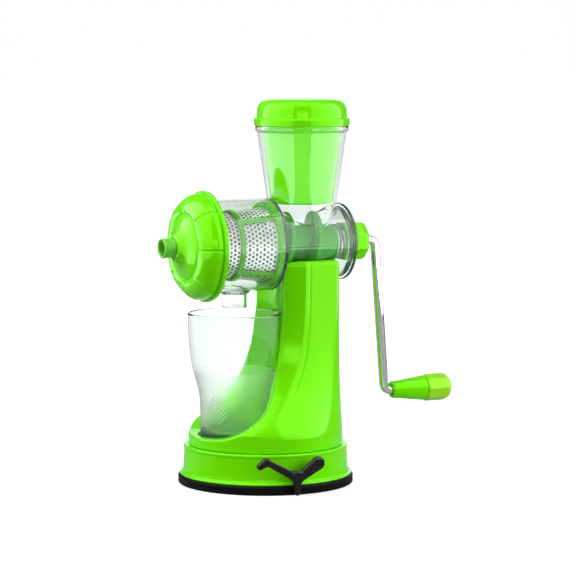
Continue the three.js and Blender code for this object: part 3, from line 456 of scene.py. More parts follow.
def turned(name, outline, place, finish, soft=0.4, segments=SEGMENTS):
    """An outline of (radius, height) points, listed anticlockwise, turned about an axis."""
    closed = outline[0][0] > 0 or outline[-1][0] > 0
    points, directions = soften(outline, soft, closed)
    angles = np.linspace(0, 2 * math.pi, segments, endpoint=False)
    r, h, angle, index, faces = revolve(points, closed, angles)
    direction = np.array(directions)[index]
    on_axis = r < ON_AXIS
    out = np.where(on_axis, 0, direction[:, 1])
    up = np.where(on_axis, np.sign(-direction[:, 0]), -direction[:, 0])
    normals = placed(out, up, angle, place.to_3x3().to_4x4())
    return add_piece(name, placed(r, h, angle, place), faces, finish, normals)


def tube_faces(rings, around):
    """Faces between rings of points, with a flat face over each end."""
    faces = []
    for i in range(rings - 1):
        for j in range(around):
            n = (j + 1) % around
            faces.append((i * around + j, i * around + n, (i + 1) * around + n, (i + 1) * around + j))
    faces.append(tuple(range(around))[::-1])
    faces.append(tuple((rings - 1) * around + j for j in range(around)))
    return faces


def swept(path, radius, around, across):
    """Points and faces of a round bar along a path. across is a direction never along the path."""
    points = []
    for i, centre in enumerate(path):
        run = (path[min(i + 1, len(path) - 1)] - path[max(i - 1, 0)]).normalized()
        side = (across - run * across.dot(run)).normalized()
        other = run.cross(side)
        for j in range(around):
            angle = 2 * math.pi * j / around
            points.append(centre + (side * math.cos(angle) + other * math.sin(angle)) * radius)
    return points, tube_faces(len(path), around)


def faceted(name, outline, place, finish, sides, phase, width):
    """A turned piece with few flat sides, whose edges are rounded by a bevel."""
    angles = phase + np.linspace(0, 2 * math.pi, sides, endpoint=False)
    r, h, angle, _, faces = revolve(outline, False, angles)
    return bevelled(add_piece(name, placed(r, h, angle, place), faces, finish), width)


def apply_modifiers(piece):
    """Replaces the mesh by what its modifiers make of it."""
    depsgraph = bpy.context.evaluated_depsgraph_get()
    made = bpy.data.meshes.new_from_object(piece.evaluated_get(depsgraph))
    piece.modifiers.clear()
    piece.data = made
    return piece


def bevelled(piece, width, angle=20):
    bevel = piece.modifiers.new("bevel", "BEVEL")
    bevel.width = width * MM
    bevel.segments = 3
    bevel.limit_method = "ANGLE"
    bevel.angle_limit = math.radians(angle)
    bevel.harden_normals = True
    return apply_modifiers(piece)


# ---- Fields: solids as functions that are negative inside ----


def both(a, b, blend):
    """Intersection with a rounded edge."""
    return np.maximum(a, b) + np.maximum(blend - np.abs(a - b), 0) ** 2 / (4 * blend)


def either(a, b, blend):
    """Union with a rounded inside corner."""
    return -both(-a, -b, blend)


def within(*parts, blend):
    return functools.reduce(lambda a, b: both(a, b, blend), parts)


def joined(*parts, blend):
    return functools.reduce(lambda a, b: either(a, b, blend), parts)


def slope(field, points, step=0.02):
    columns = []
    for shift in np.eye(3) * step:
        columns.append((field(*(points + shift).T) - field(*(points - shift).T)) / (2 * step))
    return np.column_stack(columns)


def settle(field, starts, reach):
    """Moves points onto the surface, each at most reach along each axis."""
    points = starts.copy()
    for _ in range(6):
        gradient = slope(field, points)
        steepness = np.maximum((gradient**2).sum(1), 0.05)
        points -= gradient * (field(*points.T) / steepness)[:, None]
        points = np.clip(points, starts - reach, starts + reach)
    return points


def surface_net(field, low, high, pitch):
    """A closed mesh of quads on the field's surface, one vertex in each cell that the surface crosses."""
    axes = [np.arange(a - 2 * pitch, b + 3 * pitch, pitch) for a, b in zip(low, high)]
    y, z = np.meshgrid(axes[1], axes[2], indexing="ij")
    inside = np.stack([field(np.full_like(y, x), y, z) < 0 for x in axes[0]])
    ends = (slice(None, -1), slice(1, None))
    count = sum(inside[i, j, k].astype(np.int8) for i in ends for j in ends for k in ends)
    crossed = (count > 0) & (count < 8)
    index = np.full(crossed.shape, -1)
    index[crossed] = np.arange(crossed.sum())
    cells = np.argwhere(crossed)
    centres = np.column_stack([axes[a][cells[:, a]] for a in range(3)]) + pitch / 2
    points = settle(field, centres, 0.7 * pitch)
    quads = []
    for order in ((0, 1, 2), (1, 2, 0), (2, 0, 1)):
        solid, vertex = inside.transpose(order), index.transpose(order)
        near, far = solid[:-1, 1:-1, 1:-1], solid[1:, 1:-1, 1:-1]
        for side, step in ((near & ~far, 1), (far & ~near, -1)):
            i, j, k = np.nonzero(side)
            corners = [vertex[i, j, k], vertex[i, j + 1, k], vertex[i, j + 1, k + 1], vertex[i, j, k + 1]]
            quads.append(np.column_stack(corners)[:, ::step])
    return points, np.vstack(quads)


def grown(name, field, low, high, pitch, finish):
    """A piece from a field, with the field's own normals."""
    points, quads = surface_net(field, low, high, pitch)
    normals = slope(field, points)
    normals /= np.maximum(np.linalg.norm(normals, axis=1), 1e-9)[:, None]
    return add_piece(name, points, quads.tolist(), finish, normals)


# ---- Suction base ----


def suction_pad():
    top = PAD_HIGH.z
    seat_r = RING_R - RING_WALL
    outline = [
        (0, 0), (PAD_R - 1.2, 0), (PAD_R, 1.2), (PAD_R - 0.3, top / 2), (PAD_R, top - 1.4),
        (PAD_R - 1.2, top), (seat_r, top), (seat_r, 2.6), (0, 2.6),
    ]
    return turned("suction_pad_rim", outline, upright(0), FINISHES["black_rubber"], soft=0.8, segments=224)


def base_ring():
    foot, deck = RING_LOW.z, RING_HIGH.z
    foot_r = RING_HIGH.x
    outline = [
        (RING_R - RING_WALL, foot), (foot_r, foot), (foot_r, foot + 0.7),
        *spline([(foot_r - 0.5, foot + 1.3), (RING_R + 0.8, foot + 2.2), (RING_R, foot + 4.6)], 6),
        (RING_R - 1, deck - 3.0), (RING_R - 0.3, deck - 2.2), (RING_R - 0.5, deck - 0.6),
        (RING_R - 1.5, deck), (50, deck), (50, deck - 2.7), (RING_R - RING_WALL - 1, deck - 2.7),
    ]
    return turned("base_ring_skirt", outline, upright(0), FINISHES["green_plastic"], soft=0.5, segments=224)


def lever_field(x, y, z):
    """Two arms, a toe and a boss, moulded as one: sideways and up across the shaft, outward along it."""
    outward = x * math.cos(LEVER_AZIMUTH) + y * math.sin(LEVER_AZIMUTH)
    sideways = -x * math.sin(LEVER_AZIMUTH) + y * math.cos(LEVER_AZIMUTH)
    up = z - LEVER_PIVOT_Z

    def limb(start, end, start_r, end_r):
        run = np.subtract(end, start)
        t = np.clip(((sideways - start[0]) * run[0] + (up - start[1]) * run[1]) / run.dot(run), 0, 1)
        away = np.hypot(sideways - start[0] - run[0] * t, up - start[1] - run[1] * t)
        return away - (start_r + (end_r - start_r) * t)

    def plate(shape, low, high, edge):
        depth = np.abs(outward - (low + high) / 2) - (high - low) / 2 + edge
        outside = np.hypot(np.maximum(shape + edge, 0), np.maximum(depth, 0))
        return outside + np.minimum(np.maximum(shape + edge, depth), 0) - edge

    face = PAD_R + 1
    arm = plate(limb((0.5, -1.5), (-27, 13.6), 3.4, 2.7), face + 0.4, face + 5.1, 1.2)
    hook = plate(limb((-27, 13.4), (-32.4, 9.8), 3.3, 2.6), face, face + 5.5, 1.4)
    paddle = plate(limb((2.5, -1.2), (18.6, 10.3), 3.6, 5.6), face, face + 5.5, 1.5)
    grip = plate(limb((10.5, 6.4), (18.2, 10.9), 3.0, 4.2), face + 2, face + 6.4, 1.6)
    toe = plate(limb((0.6, 0), (0.3, -13.6), 4.0, 2.4), face, face + 5.3, 1.3)
    boss = plate(np.hypot(sideways, up) - 4.6, RING_R + 1, face + 5.9, 1.0)
    return joined(arm, hook, paddle, grip, toe, boss, blend=1.8)


def vacuum_lever():
    centre = Vector((math.cos(LEVER_AZIMUTH), math.sin(LEVER_AZIMUTH), 0)) * PAD_R
    low = (centre.x - 40, centre.y - 14, 0)
    high = (centre.x + 34, centre.y + 12, LEVER_PIVOT_Z + 20)
    return grown("vacuum_lever_arms", lever_field, low, high, 0.6, FINISHES["black_plastic"])


# ---- Stand ----

STAND_BASE_R = STAND_HIGH.x
STAND_TOP_Z = STAND_HIGH.z
STAND_HALF_W = TUBE_R + 5
STAND_BACK_X = 54.5
STAND_FRONT_X = 1.5
CREASE_X = 21.5  # where the flat side turns into the front corner
CREASE_TURN = math.radians(22)
BACK_CORNER_R = 5
FRONT_CORNER_W = 12
FLARE_START_Z = RING_HIGH.z + 11.5
FLARE_H = 36
DISH_X = -100
WELL_Z = GLASS_LOW.z - GAP
WELL_GAP = 2
DISH_LIP = WELL_Z + 3.2
TABLE_STEP_Z = 0.5
TABLE_PAD = 5  # beyond the stand's foot and top
TABLE_ANGLES = np.radians(np.linspace(0, 180, 721))
CREASE_GROOVE = (4.2, 0.9, 0.45)  # distance behind the crease, half-width, depth


def stand_outline():
    """Half the top section. Each row is x, y, the foot circle's angle in degrees and the front flare's
    share."""
    side, back, front = STAND_HALF_W, STAND_BACK_X, STAND_FRONT_X
    corner = BACK_CORNER_R
    drop = (CREASE_X - front) * math.tan(CREASE_TURN)
    rows = []
    for t in np.linspace(0, 1, 12, endpoint=False):
        rows.append((back, (side - corner) * t, 20 * t, 0))
    for t in np.linspace(0, 1, 16, endpoint=False):
        turn = t * math.pi / 2
        x, y = back - corner + corner * math.cos(turn), side - corner + corner * math.sin(turn)
        rows.append((x, y, 20 + 40 * t, 0))
    behind, half_w, depth = CREASE_GROOVE
    for t in np.linspace(0, 1, 90, endpoint=False):
        x = back - corner + (CREASE_X - back + corner) * t
        groove = depth * math.exp(-(((x - CREASE_X - behind) / half_w) ** 2))
        rows.append((x, side - groove, 60 + 60 * t, t))
    for t in np.linspace(0, 1, 40, endpoint=False):
        start, bend, end = (CREASE_X, side), (front, side - drop), (front, side - FRONT_CORNER_W)
        x, y = ((1 - t) ** 2 * a + 2 * t * (1 - t) * b + t**2 * c for a, b, c in zip(start, bend, end))
        rows.append((x, y, 120 + 38 * t, 1))
    for t in np.linspace(0, 1, 12):
        rows.append((front, (side - FRONT_CORNER_W) * (1 - t), 158 + 22 * t, 1))
    return np.array(rows).T


def smoothed(values, times):
    for _ in range(times):
        values = np.convolve(np.pad(values, 1, mode="edge"), (0.25, 0.5, 0.25), mode="valid")
    return values


def flare(z, start, reach, power):
    return math.exp(-((max(z - start, 0) / reach) ** power))


def stand_centre(z):
    """The upright line that the section's radius is measured from, moving back as the stand narrows."""
    share = np.exp(-((np.maximum(z - FLARE_START_Z, 0) / FLARE_H) ** 1.3))
    return (STAND_BACK_X + STAND_FRONT_X) / 2 * (1 - share)


def stand_table():
    """Radius of the stand's outside by height and by angle, with its slopes."""
    x, y, angle, follow = stand_outline()
    circle_x, circle_y = STAND_BASE_R * np.cos(np.radians(angle)), STAND_BASE_R * np.sin(np.radians(angle))
    heights = np.arange(STAND_LOW.z - TABLE_PAD, STAND_TOP_Z + TABLE_PAD + 1, TABLE_STEP_Z)
    rows = []
    for z in heights:
        back = flare(z, FLARE_START_Z, FLARE_H, 1.15)
        front = flare(z, FLARE_START_Z + 3, FLARE_H + 2, 1.4)
        share = back + (front - back) * follow
        px = x + (circle_x - x) * share - stand_centre(z)
        py = y + (circle_y - y) * share
        rows.append(smoothed(np.interp(TABLE_ANGLES, np.arctan2(py, px), np.hypot(px, py)), 3))
    radius = np.array(rows)
    by_z, by_angle = np.gradient(radius, TABLE_STEP_Z, TABLE_ANGLES[1])
    return heights[0], np.stack([radius, by_z, by_angle])


TABLE_Z, STAND_TABLE = stand_table()


def stand_side(x, y, z):
    """Distance from the stand's outside, before anything is cut from it."""
    px = x - stand_centre(z)
    away = np.hypot(px, y)
    row = np.clip((z - TABLE_Z) / TABLE_STEP_Z, 0, STAND_TABLE.shape[1] - 1.001)
    column = np.clip(np.arctan2(np.abs(y), px) / TABLE_ANGLES[1], 0, len(TABLE_ANGLES) - 1.001)
    i, j = row.astype(int), column.astype(int)
    u, v = row - i, column - j
    low = STAND_TABLE[:, i, j] * (1 - v) + STAND_TABLE[:, i, j + 1] * v
    high = STAND_TABLE[:, i + 1, j] * (1 - v) + STAND_TABLE[:, i + 1, j + 1] * v
    radius, by_z, by_angle = low * (1 - u) + high * u
    return (away - radius) / np.sqrt(1 + by_z**2 + (by_angle / np.maximum(away, 1)) ** 2)


def bowl(x, y, z, centre_x, curve):
    """Distance from a hollow turned about an upright axis, whose radius follows curve with height."""
    radii, heights = np.array(curve).T
    samples = np.linspace(heights[0], heights[-1], 400)
    profile = np.interp(samples, heights, radii)
    steepness = np.gradient(profile, samples)
    radius = np.interp(z, samples, profile)
    lean = np.interp(z, samples, steepness)
    return (np.hypot(x - centre_x, y) - radius) / np.sqrt(1 + lean**2)


DISH_CURVE = spline([
    (34, DISH_LIP), (58, DISH_LIP + 2.6), (77, DISH_LIP + 11), (91, DISH_LIP + 24), (98.5, DISH_LIP + 48),
    (103.5, DISH_LIP + 80), (108, STAND_TOP_Z + 6),
], 16)


def glass_side(grow):
    """Radii of the tumbler's outside, bottom to rim."""
    swell, height = GLASS_RIM_R - GLASS_BASE_R, GLASS_HIGH.z - GLASS_LOW.z
    shares = [(0.014, 0), (0.2, 0.01), (0.35, 0.1), (0.46, 0.36), (0.6, 0.7), (0.76, 0.9), (1, 1)]
    return spline([(GLASS_BASE_R + grow + swell * r, GLASS_LOW.z + height * h) for h, r in shares], 10)


WELL_CURVE = glass_side(WELL_GAP)


def stand_field(x, y, z):
    side = stand_side(x, y, z)
    shell = both(both(side, z - STAND_TOP_Z, 5), STAND_LOW.z - z, 0.6)
    dish = both(bowl(x, y, z, DISH_X, DISH_CURVE), DISH_LIP - z, 0.5)
    well = both(bowl(x, y, z, GLASS_X, WELL_CURVE), WELL_Z - z, 1.5)
    axial = np.hypot(y, z - AXIS_Z)
    chamber = both(axial - CHAMBER_R - 1, x - CHAMBER_BACK_X - 0.8, 1)
    cradle = either(axial - TUBE_R - 0.5, chamber, 0.4)
    slot = within(
        np.abs(x - sum(FOOT_X) / 2) - (FOOT_X[1] - FOOT_X[0]) / 2 - 0.5,
        np.abs(y) - FOOT_HALF_W - 0.5,
        FOOT_BOTTOM_Z - 1.5 - z,
        blend=0.5,
    )
    hollow = either(dish, well, 0.5)
    return within(both(shell, -hollow, 2.2), -cradle, -slot, blend=1.4)


def stand_column():
    return grown("stand_column_body", stand_field, STAND_LOW, STAND_HIGH, 0.94, FINISHES["green_plastic"])


# ---- Tumbler ----


def tumbler():
    rim = GLASS_HIGH.z
    outside = glass_side(0)
    inside = [(r, z) for r, z in glass_side(-GLASS_WALL) if z > GLASS_LOW.z + GLASS_FLOOR + 3][::-1]
    outline = [
        (0, GLASS_LOW.z + 0.8), (GLASS_BASE_R - 6, GLASS_LOW.z + 0.8), (GLASS_BASE_R - 4.5, GLASS_LOW.z),
        (GLASS_BASE_R - 1.5, GLASS_LOW.z), *outside[:-1], (GLASS_RIM_R, rim - 1.2), (GLASS_RIM_R - 0.5, rim),
        (GLASS_RIM_R - GLASS_WALL + 0.2, rim), *inside[1:],
        (GLASS_BASE_R - GLASS_WALL - 1, GLASS_LOW.z + GLASS_FLOOR + 1.6),
        (GLASS_BASE_R - GLASS_WALL - 4, GLASS_LOW.z + GLASS_FLOOR), (0, GLASS_LOW.z + GLASS_FLOOR),
    ]
    return turned("juice_tumbler", outline, upright(GLASS_X), TUMBLER_FINISH, soft=0.5)


RIB_AZIMUTH = math.radians(-147)
RIB_Z = GLASS_LOW.z + 27
RIB_OVAL = (9.5, 12)  # half-width and half-height
RIB_SPACING = 2.6
RIB_R = 0.55


def tumbler_ribs():
    """Slanting ribs in an oval, moulded low on the tumbler's front."""
    radii, heights = np.array(glass_side(0)).T
    points, faces = [], []
    for offset in np.arange(-3.5, 4) * RIB_SPACING:
        run = np.arange(-14, 14.1, 0.5)
        across, up = (run + offset) / math.sqrt(2), (run - offset) / math.sqrt(2)
        kept = (across / RIB_OVAL[0]) ** 2 + (up / RIB_OVAL[1]) ** 2 < 1
        z = RIB_Z + up[kept]
        r = np.interp(z, heights, radii)
        angle = RIB_AZIMUTH + across[kept] / r
        path = [Vector(p) for p in zip(GLASS_X + r * np.cos(angle), r * np.sin(angle), z)]
        outward = Vector((math.cos(RIB_AZIMUTH), math.sin(RIB_AZIMUTH), 0))
        rib_points, rib_faces = swept(path, RIB_R, 12, outward)
        faces.extend(tuple(len(points) + i for i in face) for face in rib_faces)
        points.extend(rib_points)
    return add_piece("tumbler_relief", points, faces, TUMBLER_FINISH, sharp=50)


# ---- Clear housing ----


SEAM_H = 0.22
SEAM_HALF_W = 0.6


def hopper_radius(z):
    return HOPPER_RIM_R - 0.8 - (HOPPER_RIM_Z - z) * HOPPER_TAPER


def housing_field(x, y, z):
    axial = np.hypot(y, z - AXIS_Z)
    seam = SEAM_H * np.exp(-(((z - AXIS_Z) / SEAM_HALF_W) ** 2))
    chamber = within(axial - CHAMBER_R - seam, x - CHAMBER_BACK_X, CHAMBER_MOUTH_X - x, blend=1.2)
    tube = within(axial - TUBE_R - seam, x - TUBE_END_X + 0.5, CHAMBER_BACK_X - 2 - x, blend=0.6)
    flange = within(axial - END_FLANGE_R, x - TUBE_END_X, TUBE_END_X - END_FLANGE_T - x, blend=1)
    around = np.hypot(x - HOPPER_X, y)
    throat = AXIS_Z + 4
    funnel = within((around - hopper_radius(z)) * 0.99, z - HOPPER_RIM_Z + 0.5, throat - z, blend=0.6)
    lip = within(around - HOPPER_RIM_R, z - HOPPER_RIM_Z, HOPPER_RIM_Z - HOPPER_LIP_H - z, blend=0.8)
    beside = np.hypot(x - GLASS_X, y)
    spout_top = AXIS_Z - CHAMBER_R + 8
    spout = within(beside - SPOUT_R, SPOUT_END_Z - z, z - spout_top, blend=0.6)
    collar = within(beside - SPOUT_R - 1.8, SPOUT_END_Z + 12 - z, z - spout_top, blend=0.8)
    foot = within(
        np.abs(x - sum(FOOT_X) / 2) - (FOOT_X[1] - FOOT_X[0]) / 2, np.abs(y) - FOOT_HALF_W,
        FOOT_BOTTOM_Z - z, z - AXIS_Z + TUBE_R - 1, blend=0.8,
    )
    outside = joined(chamber, tube, flange, funnel, lip, spout, collar, foot, blend=1.0)
    chamber_bore = both(axial - CHAMBER_BORE_R, x - CHAMBER_FLOOR_X, 1)
    tube_bore = both(axial - TUBE_BORE_R, x - TUBE_END_X + TUBE_END_WALL, 1)
    bush_bore = np.maximum(axial - BUSH_FLANGE_R + BUSH_FLANGE - GAP, -x)
    funnel_bore = np.maximum((around - hopper_radius(z) + HOPPER_WALL) * 0.99, throat - z)
    spout_bore = np.maximum(beside - SPOUT_R + SPOUT_WALL, z - spout_top)
    bore = joined(chamber_bore, tube_bore, bush_bore, funnel_bore, spout_bore, blend=0.5)
    return both(outside, -bore, 0.9)


def juicer_housing():
    finish = FINISHES["clear_plastic"]
    return grown("clear_housing", housing_field, HOUSING_LOW, HOUSING_HIGH, 1.16, finish)


# ---- Strainer ----

MESH_TAPER = 0.125
MESH_BACK_R = 32.4
MESH_T = 0.6
HOLES_AROUND = 48
HOLE_ROWS = 18
HOLE_R = 1.1
MESH_MARGIN = 1.2  # plain steel at each end


def mesh_radius(x):
    return MESH_BACK_R + MESH_TAPER * x


def strainer_mesh():
    """A cone of thin steel with staggered round holes, each in a cell of eight quads."""
    low, high = MESH_LOW.x + MESH_MARGIN, MESH_HIGH.x - MESH_MARGIN
    row_h = (high - low) / HOLE_ROWS
    half_turns = 2 * HOLES_AROUND
    points, faces, seen = [], [], {}

    def vertex(key, angle, x, layer):
        if (key, layer) not in seen:
            r = mesh_radius(x) - MESH_T * layer
            seen[key, layer] = len(points)
            points.append((x, r * math.cos(angle), AXIS_Z + r * math.sin(angle)))
        return seen[key, layer]

    compass = [(1, 0), (1, 1), (0, 1), (-1, 1), (-1, 0), (-1, -1), (0, -1), (1, -1)]

    def edge_point(a, b, layer):
        return vertex((a % half_turns, b), a * math.pi / HOLES_AROUND, low + b * row_h / 2, layer)

    for row in range(HOLE_ROWS):
        for cell in range(HOLES_AROUND):
            a, b = 2 * cell + row % 2, 2 * row + 1
            x, angle = low + b * row_h / 2, a * math.pi / HOLES_AROUND
            loops = {}
            for layer in (0, 1):
                outer = [edge_point(a + da, b + db, layer) for da, db in compass]
                hole = []
                for step in range(8):
                    turn = step * math.pi / 4
                    at_x = x + HOLE_R * math.sin(turn)
                    at_angle = angle + HOLE_R * math.cos(turn) / mesh_radius(at_x)
                    hole.append(vertex(("hole", row, cell, step), at_angle, at_x, layer))
                loops[layer] = outer, hole
            for s in range(8):
                n = (s + 1) % 8
                (outer, hole), (inner_outer, inner_hole) = loops[0], loops[1]
                faces.append((outer[s], outer[n], hole[n], hole[s]))
                faces.append((inner_outer[n], inner_outer[s], inner_hole[s], inner_hole[n]))
                faces.append((hole[s], hole[n], inner_hole[n], inner_hole[s]))
    for b, x, way in ((0, MESH_LOW.x, -1), (2 * HOLE_ROWS, MESH_HIGH.x, 1)):
        for a in range(half_turns):
            near = [[edge_point(i, b, layer) for i in (a, a + 1)] for layer in (0, 1)]
            ends = [
                [vertex(("end", i % half_turns, b), i * math.pi / HOLES_AROUND, x, layer) for i in (a, a + 1)]
                for layer in (0, 1)
            ]
            for quad in (
                (near[0][1], near[0][0], ends[0][0], ends[0][1]),
                (near[1][0], near[1][1], ends[1][1], ends[1][0]),
                (ends[0][1], ends[0][0], ends[1][0], ends[1][1]),
            ):
                faces.append(quad[::way])
    piece = add_piece("perforated_cone", points, faces, FINISHES["strainer_steel"], sharp=40)
    # inner faces and hole walls take the dark steel as painted shade
    piece.data.materials.append(MESH_PAINTED_SHADE)
    for face in piece.data.polygons:
        out = Vector((0, face.center.y, face.center.z - AXIS_Z * MM)).normalized()
        face.material_index = 0 if face.normal.dot(out) > 0.5 else 1
    return piece


FIN_RUN = 14


def strainer_frame_field(x, y, z):
    """A flange, a ring, four ribs and a fin on each, which rises towards the flange."""
    up = z - AXIS_Z
    away = np.hypot(y, up)
    over = away - mesh_radius(x) - GAP
    back, flange_x = FRAME_HIGH.x, FRAME_HIGH.x - 4.5
    flange = within(away - CHAMBER_BORE_R + GAP, x - back, flange_x - x, -over, blend=0.6)
    mid = within(over - 2, FRAME_LOW.x - x, x - FRAME_LOW.x - 4, -over, blend=0.6)
    across = (np.abs(y) - np.abs(up)) / math.sqrt(2)  # distance from the two planes at 45 degrees
    rib = within(over - 1.8, np.abs(across) - 2.3, FRAME_LOW.x + 1 - x, x - back + 1, -over, blend=0.7)
    rise = np.clip((x - flange_x + FIN_RUN) / FIN_RUN, 0, 1)
    crest = mesh_radius(x) + GAP + 2 + rise * (CHAMBER_BORE_R - 1 - mesh_radius(x) - GAP - 2)
    fin = within(away - crest, np.abs(across) - 1.15, flange_x - FIN_RUN - x, x - back + 1, -over, blend=0.5)
    return joined(flange, mid, rib, fin, blend=0.8)


def strainer_frame():
    # the cage's green is darkened as painted shade
    return grown("strainer_cage", strainer_frame_field, FRAME_LOW, FRAME_HIGH, 0.7, CAGE_PAINTED_SHADE)


# ---- Auger and shaft ----

AUGER_PITCH = 26
AUGER_STEPS_PER_TURN = 60
FLIGHT_FADE = 8
FLIGHT_FOOT = 42  # degrees from the flight's middle to where it leaves the core
FLIGHT_FLANK = 20  # degrees over which it rises


def auger_screw():
    """One left-handed flight wound round a tapering core."""
    foot, shoulder, crest = FLIGHT_FOOT, FLIGHT_FOOT - 21, 16
    flanks = np.concatenate([
        np.linspace(-foot, -shoulder, 10), np.linspace(-crest, crest, 5), np.linspace(shoulder, foot, 10),
    ])
    core_angles = np.linspace(foot, 360 - foot, 40)[1:-1]
    angles = np.concatenate([flanks, core_angles])
    height = np.clip((foot - np.abs(flanks)) / FLIGHT_FLANK, 0, 1)
    shares = np.concatenate([height**2 * (3 - 2 * height), np.zeros(len(core_angles))])
    length = AUGER_HIGH.x - AUGER_LOW.x
    steps = round(length / AUGER_PITCH * AUGER_STEPS_PER_TURN)
    nose_end = CHAMBER_FLOOR_X - 6
    points = []
    for x in np.linspace(AUGER_LOW.x, AUGER_HIGH.x, steps + 1):
        nose = np.clip((x - AUGER_LOW.x) / (nose_end - AUGER_LOW.x), 0, 1)
        core = TUBE_BORE_R - 9.6 - 2.6 * nose
        tip = TUBE_BORE_R - 4.6 + 4 * nose
        rise = np.clip(min(x - AUGER_LOW.x, AUGER_HIGH.x - x) / FLIGHT_FADE, 0, 1)
        r = core + (tip - core) * shares * rise
        turn = np.radians(angles - 360 * x / AUGER_PITCH)
        points.extend(np.column_stack([np.full_like(r, x), r * np.cos(turn), AXIS_Z + r * np.sin(turn)]))
    faces = tube_faces(steps + 1, len(angles))
    return add_piece("auger_flight", points, faces, AUGER_PAINTED_SHADE, sharp=50)


def shaft_pieces():
    """The turned pieces at the chamber's rear end, front to back."""
    running_r = 8.5
    bush_r = BUSH_FLANGE_R - BUSH_FLANGE
    flange_end = TUBE_END_X - TUBE_END_WALL - GAP
    washer_r = half_height("thrust_washer")
    shaft = disc(running_r - 0.5, AUGER_HIGH.x + GAP, HUB_LOW.x - GAP)
    seal = ring(running_r, half_height("rear_seal"), SEAL_LOW.x, SEAL_HIGH.x)
    bush = [
        (running_r, BUSH_LOW.x), (BUSH_FLANGE_R, BUSH_LOW.x), (BUSH_FLANGE_R, flange_end),
        (bush_r, flange_end), (bush_r, BUSH_HIGH.x), (running_r, BUSH_HIGH.x),
    ]
    washer = ring(running_r, washer_r, WASHER_LOW.x, WASHER_HIGH.x)
    made = []
    for name, node, outline in (
        ("drive_shaft", "auger_shaft", shaft), ("shaft_seal", "rear_seal", seal),
        ("shaft_bush", "rear_bush", bush), ("steel_washer", "thrust_washer", washer),
    ):
        finish = FINISHES[SLOT_OF[node]]
        made.append((turned(name, outline, along_x(), finish, soft=0.25, segments=SMALL_SEGMENTS), node))
    return made


# ---- Crank ----


def crank_hub():
    start, end = HUB_LOW.x, HUB_HIGH.x
    r = half_height("crank_hub") / math.cos(math.pi / 8)
    outline = [
        (0, start), (r - 0.8, start), (r, start + 0.8), (r, end - 6.5),
        *arc((r - 6.5, end - 6.5), 6.5, 15, 75, 4), (r - 8, end), (0, end),
    ]
    return faceted("crank_nut", outline, along_x(), FINISHES["green_plastic"], 8, math.radians(22.5), 0.7)


def rod_path():
    """The rod's centreline: out along the axis, down the arm and out again, with round bends."""
    elbow, knee = Vector((ARM_TOP_X, 0, AXIS_Z)), Vector((GRIP_LOW.x - ROD_BEND, 0, GRIP_Z))
    start, end = Vector((HUB_LOW.x + 2, 0, AXIS_Z)), Vector((ROD_HIGH.x, 0, GRIP_Z))
    path = [start]
    for corner, before, after in ((elbow, start, knee), (knee, elbow, end)):
        arrive, leave = (before - corner).normalized() * ROD_BEND, (after - corner).normalized() * ROD_BEND
        for t in np.linspace(0, 1, 17):
            path.append((corner + arrive) * (1 - t) ** 2 + corner * 2 * t * (1 - t) + (corner + leave) * t**2)
    return [*path, end]


def crank_rod():
    points, faces = swept(rod_path(), ROD_R, 40, Vector((0, 1, 0)))
    return add_piece("crank_bar", points, faces, FINISHES["chromed_steel"], sharp=50)


def grip_sleeve():
    small, large = 7.5, (GRIP_HIGH.z - GRIP_LOW.z) / 2
    start, end = GRIP_LOW.x, GRIP_HIGH.x - 4
    bore = ROD_R + 0.5
    outline = [
        (bore, start), (small - 0.4, start), (small, start + 1.2), *spline(
            [(small + 0.4, start + 8), (large - 1.6, end - 14), (large - 0.3, end - 3)], 8),
        (large, end), (7.6, end), (7.6, GRIP_HIGH.x), (bore, GRIP_HIGH.x),
    ]
    place = along_x(GRIP_Z)
    return turned("grip_handle", outline, place, FINISHES["green_plastic"], soft=0.8, segments=96)


def grip_cap():
    start, end = GRIP_CAP_LOW.x, GRIP_CAP_HIGH.x
    r = 12.2
    outline = [
        (0, start), (r - 1, start), (r, start + 1.4), (r, end - 5), (r - 1.2, end - 2), (r - 3.4, end - 0.3),
        (r - 6, end), (0, end),
    ]
    return faceted("grip_end", outline, along_x(GRIP_Z), FINISHES["pale_green_plastic"], 8, 0, 0.9)


# ---- Front cap and pulp nozzle ----

CAP_BACK_X = CAP_HIGH.x
CAP_NOSE_X = CAP_LOW.x
CAP_CREST_X = CHAMBER_MOUTH_X - 8.5
CAP_FLANGE_R = half_height("front_cap")
CAP_GROOVES = 8
CAP_GROOVE_DEPTH = 0.9
CAP_GROOVE_HALF_W = 0.7
CAP_PILLOW = 0.45  # how far a lobe falls from its middle to its edges


